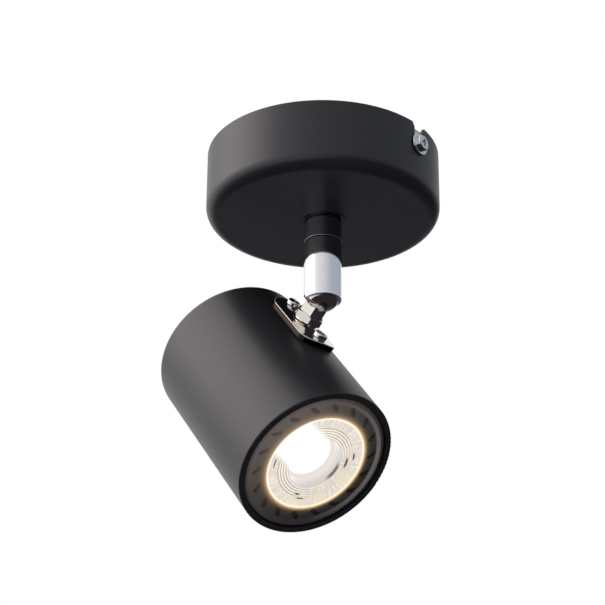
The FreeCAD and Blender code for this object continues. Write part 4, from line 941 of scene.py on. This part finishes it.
def makeSky(facts):
    shape = bmesh.new()
    span, steps = facts["highest"] - facts["lowest"], facts["riseSteps"]
    rises = [facts["lowest"] + span * step / steps for step in range(steps + 1)]
    arc = chain(shape, [towardsSky(0, rise) * facts["radius"] for rise in rises])
    bmesh.ops.spin(shape, geom=arc, cent=(0, 0, 0), axis=upAxis, angle=fullTurn, steps=facts["turnSteps"],
                   use_merge=True)
    card = addObject("skyCard", meshFrom("skyCard", shape))
    material, place = newMaterial("skyTones")
    putOut(emissionOf(place, skyTone(place, facts)))
    card.data.materials.append(material)
    onlyInReflections(card)


softBoxFacts = {
    "width": 0.95, "height": 1.15, "power": 15.0, "colour": (1.0, 0.965, 0.93),
    "azimuth": -138.0, "rise": 36.0, "distance": 1.25, "aim": (0, 0, -0.06),
}


def makeSoftBox(facts):
    lamp = bpy.data.lights.new("softBox", "AREA")
    lamp.shape = "RECTANGLE"
    lamp.size = facts["width"]
    lamp.size_y = facts["height"]
    lamp.energy = facts["power"]
    lamp.color = facts["colour"]
    box = addObject("softBox", lamp)
    towards = towardsSky(facts["azimuth"], facts["rise"])
    box.location = Vector(facts["aim"]) + towards * facts["distance"]
    box.rotation_euler = (-towards).to_track_quat("-Z", "Y").to_euler()
    box.visible_camera = False
    box.visible_glossy = False


worldFacts = {
    "colour": rgb(0.97, 0.98, 1.0), "level": 0.39,
    "whiteRays": ("Is Camera Ray", "Is Glossy Ray", "Is Transmission Ray"),
}


def makeWorld(facts):                        # white where it is seen or mirrored, dim as a light
    world = bpy.data.worlds.new("studioWhite")
    bpy.context.scene.world = world
    world.use_nodes = True
    world.node_tree.nodes.clear()
    start = Wire(world.node_tree)
    seen, glossy, through = [start.node("ShaderNodeLightPath", output=ray) for ray in facts["whiteRays"]]
    shown = seen.math("MAXIMUM", glossy).math("MAXIMUM", through)
    dim = start.node("ShaderNodeBackground", {}, {"Color": facts["colour"], "Strength": facts["level"]})
    white = start.node("ShaderNodeBackground", {}, {"Color": rgb(1, 1, 1), "Strength": 1.0})
    putOut(start.node("ShaderNodeMixShader", {}, {0: shown, 1: dim, 2: white}), "ShaderNodeOutputWorld")


makeFloor(floorFacts)
makeWorld(worldFacts)
makeSoftBox(softBoxFacts)
makeLowCard(lowCardFacts)
makeSky(skyFacts)
print("studio made")


cameraFacts = {
    "heading": 127.434, "rise": 24.998, "roll": 0.451, "distance": 627.864 * mm,
    "aside": -6.701 * mm, "above": 4.814 * mm, "aimDrop": 60.0 * mm, "focalPixels": 1880.235,
    "imagePixels": 605, "sensorWidth": 36.0, "clipStart": 0.01, "clipEnd": 50.0,
}


def makeCamera(facts):
    heading = math.radians(facts["heading"])
    roll = math.radians(facts["roll"])
    ahead = towardsSky(facts["heading"], facts["rise"])
    level = Vector((math.sin(heading), -math.cos(heading), 0))
    plumb = level.cross(ahead)
    right = level * math.cos(roll) + plumb * math.sin(roll)
    above = plumb * math.cos(roll) - level * math.sin(roll)
    aim = -upAxis * facts["aimDrop"]
    place = aim - ahead * facts["distance"] + right * facts["aside"] + above * facts["above"]
    data = bpy.data.cameras.new("photoCamera")
    data.sensor_width = facts["sensorWidth"]
    data.lens = facts["focalPixels"] / facts["imagePixels"] * facts["sensorWidth"]
    data.clip_start = facts["clipStart"]
    data.clip_end = facts["clipEnd"]
    camera = addObject("photoCamera", data)
    turn = Matrix((right, above, -ahead)).transposed()
    camera.matrix_world = Matrix.Translation(place) @ turn.to_4x4()
    bpy.context.scene.camera = camera


makeCamera(cameraFacts)
bpy.context.scene.view_settings.view_transform = "Standard"
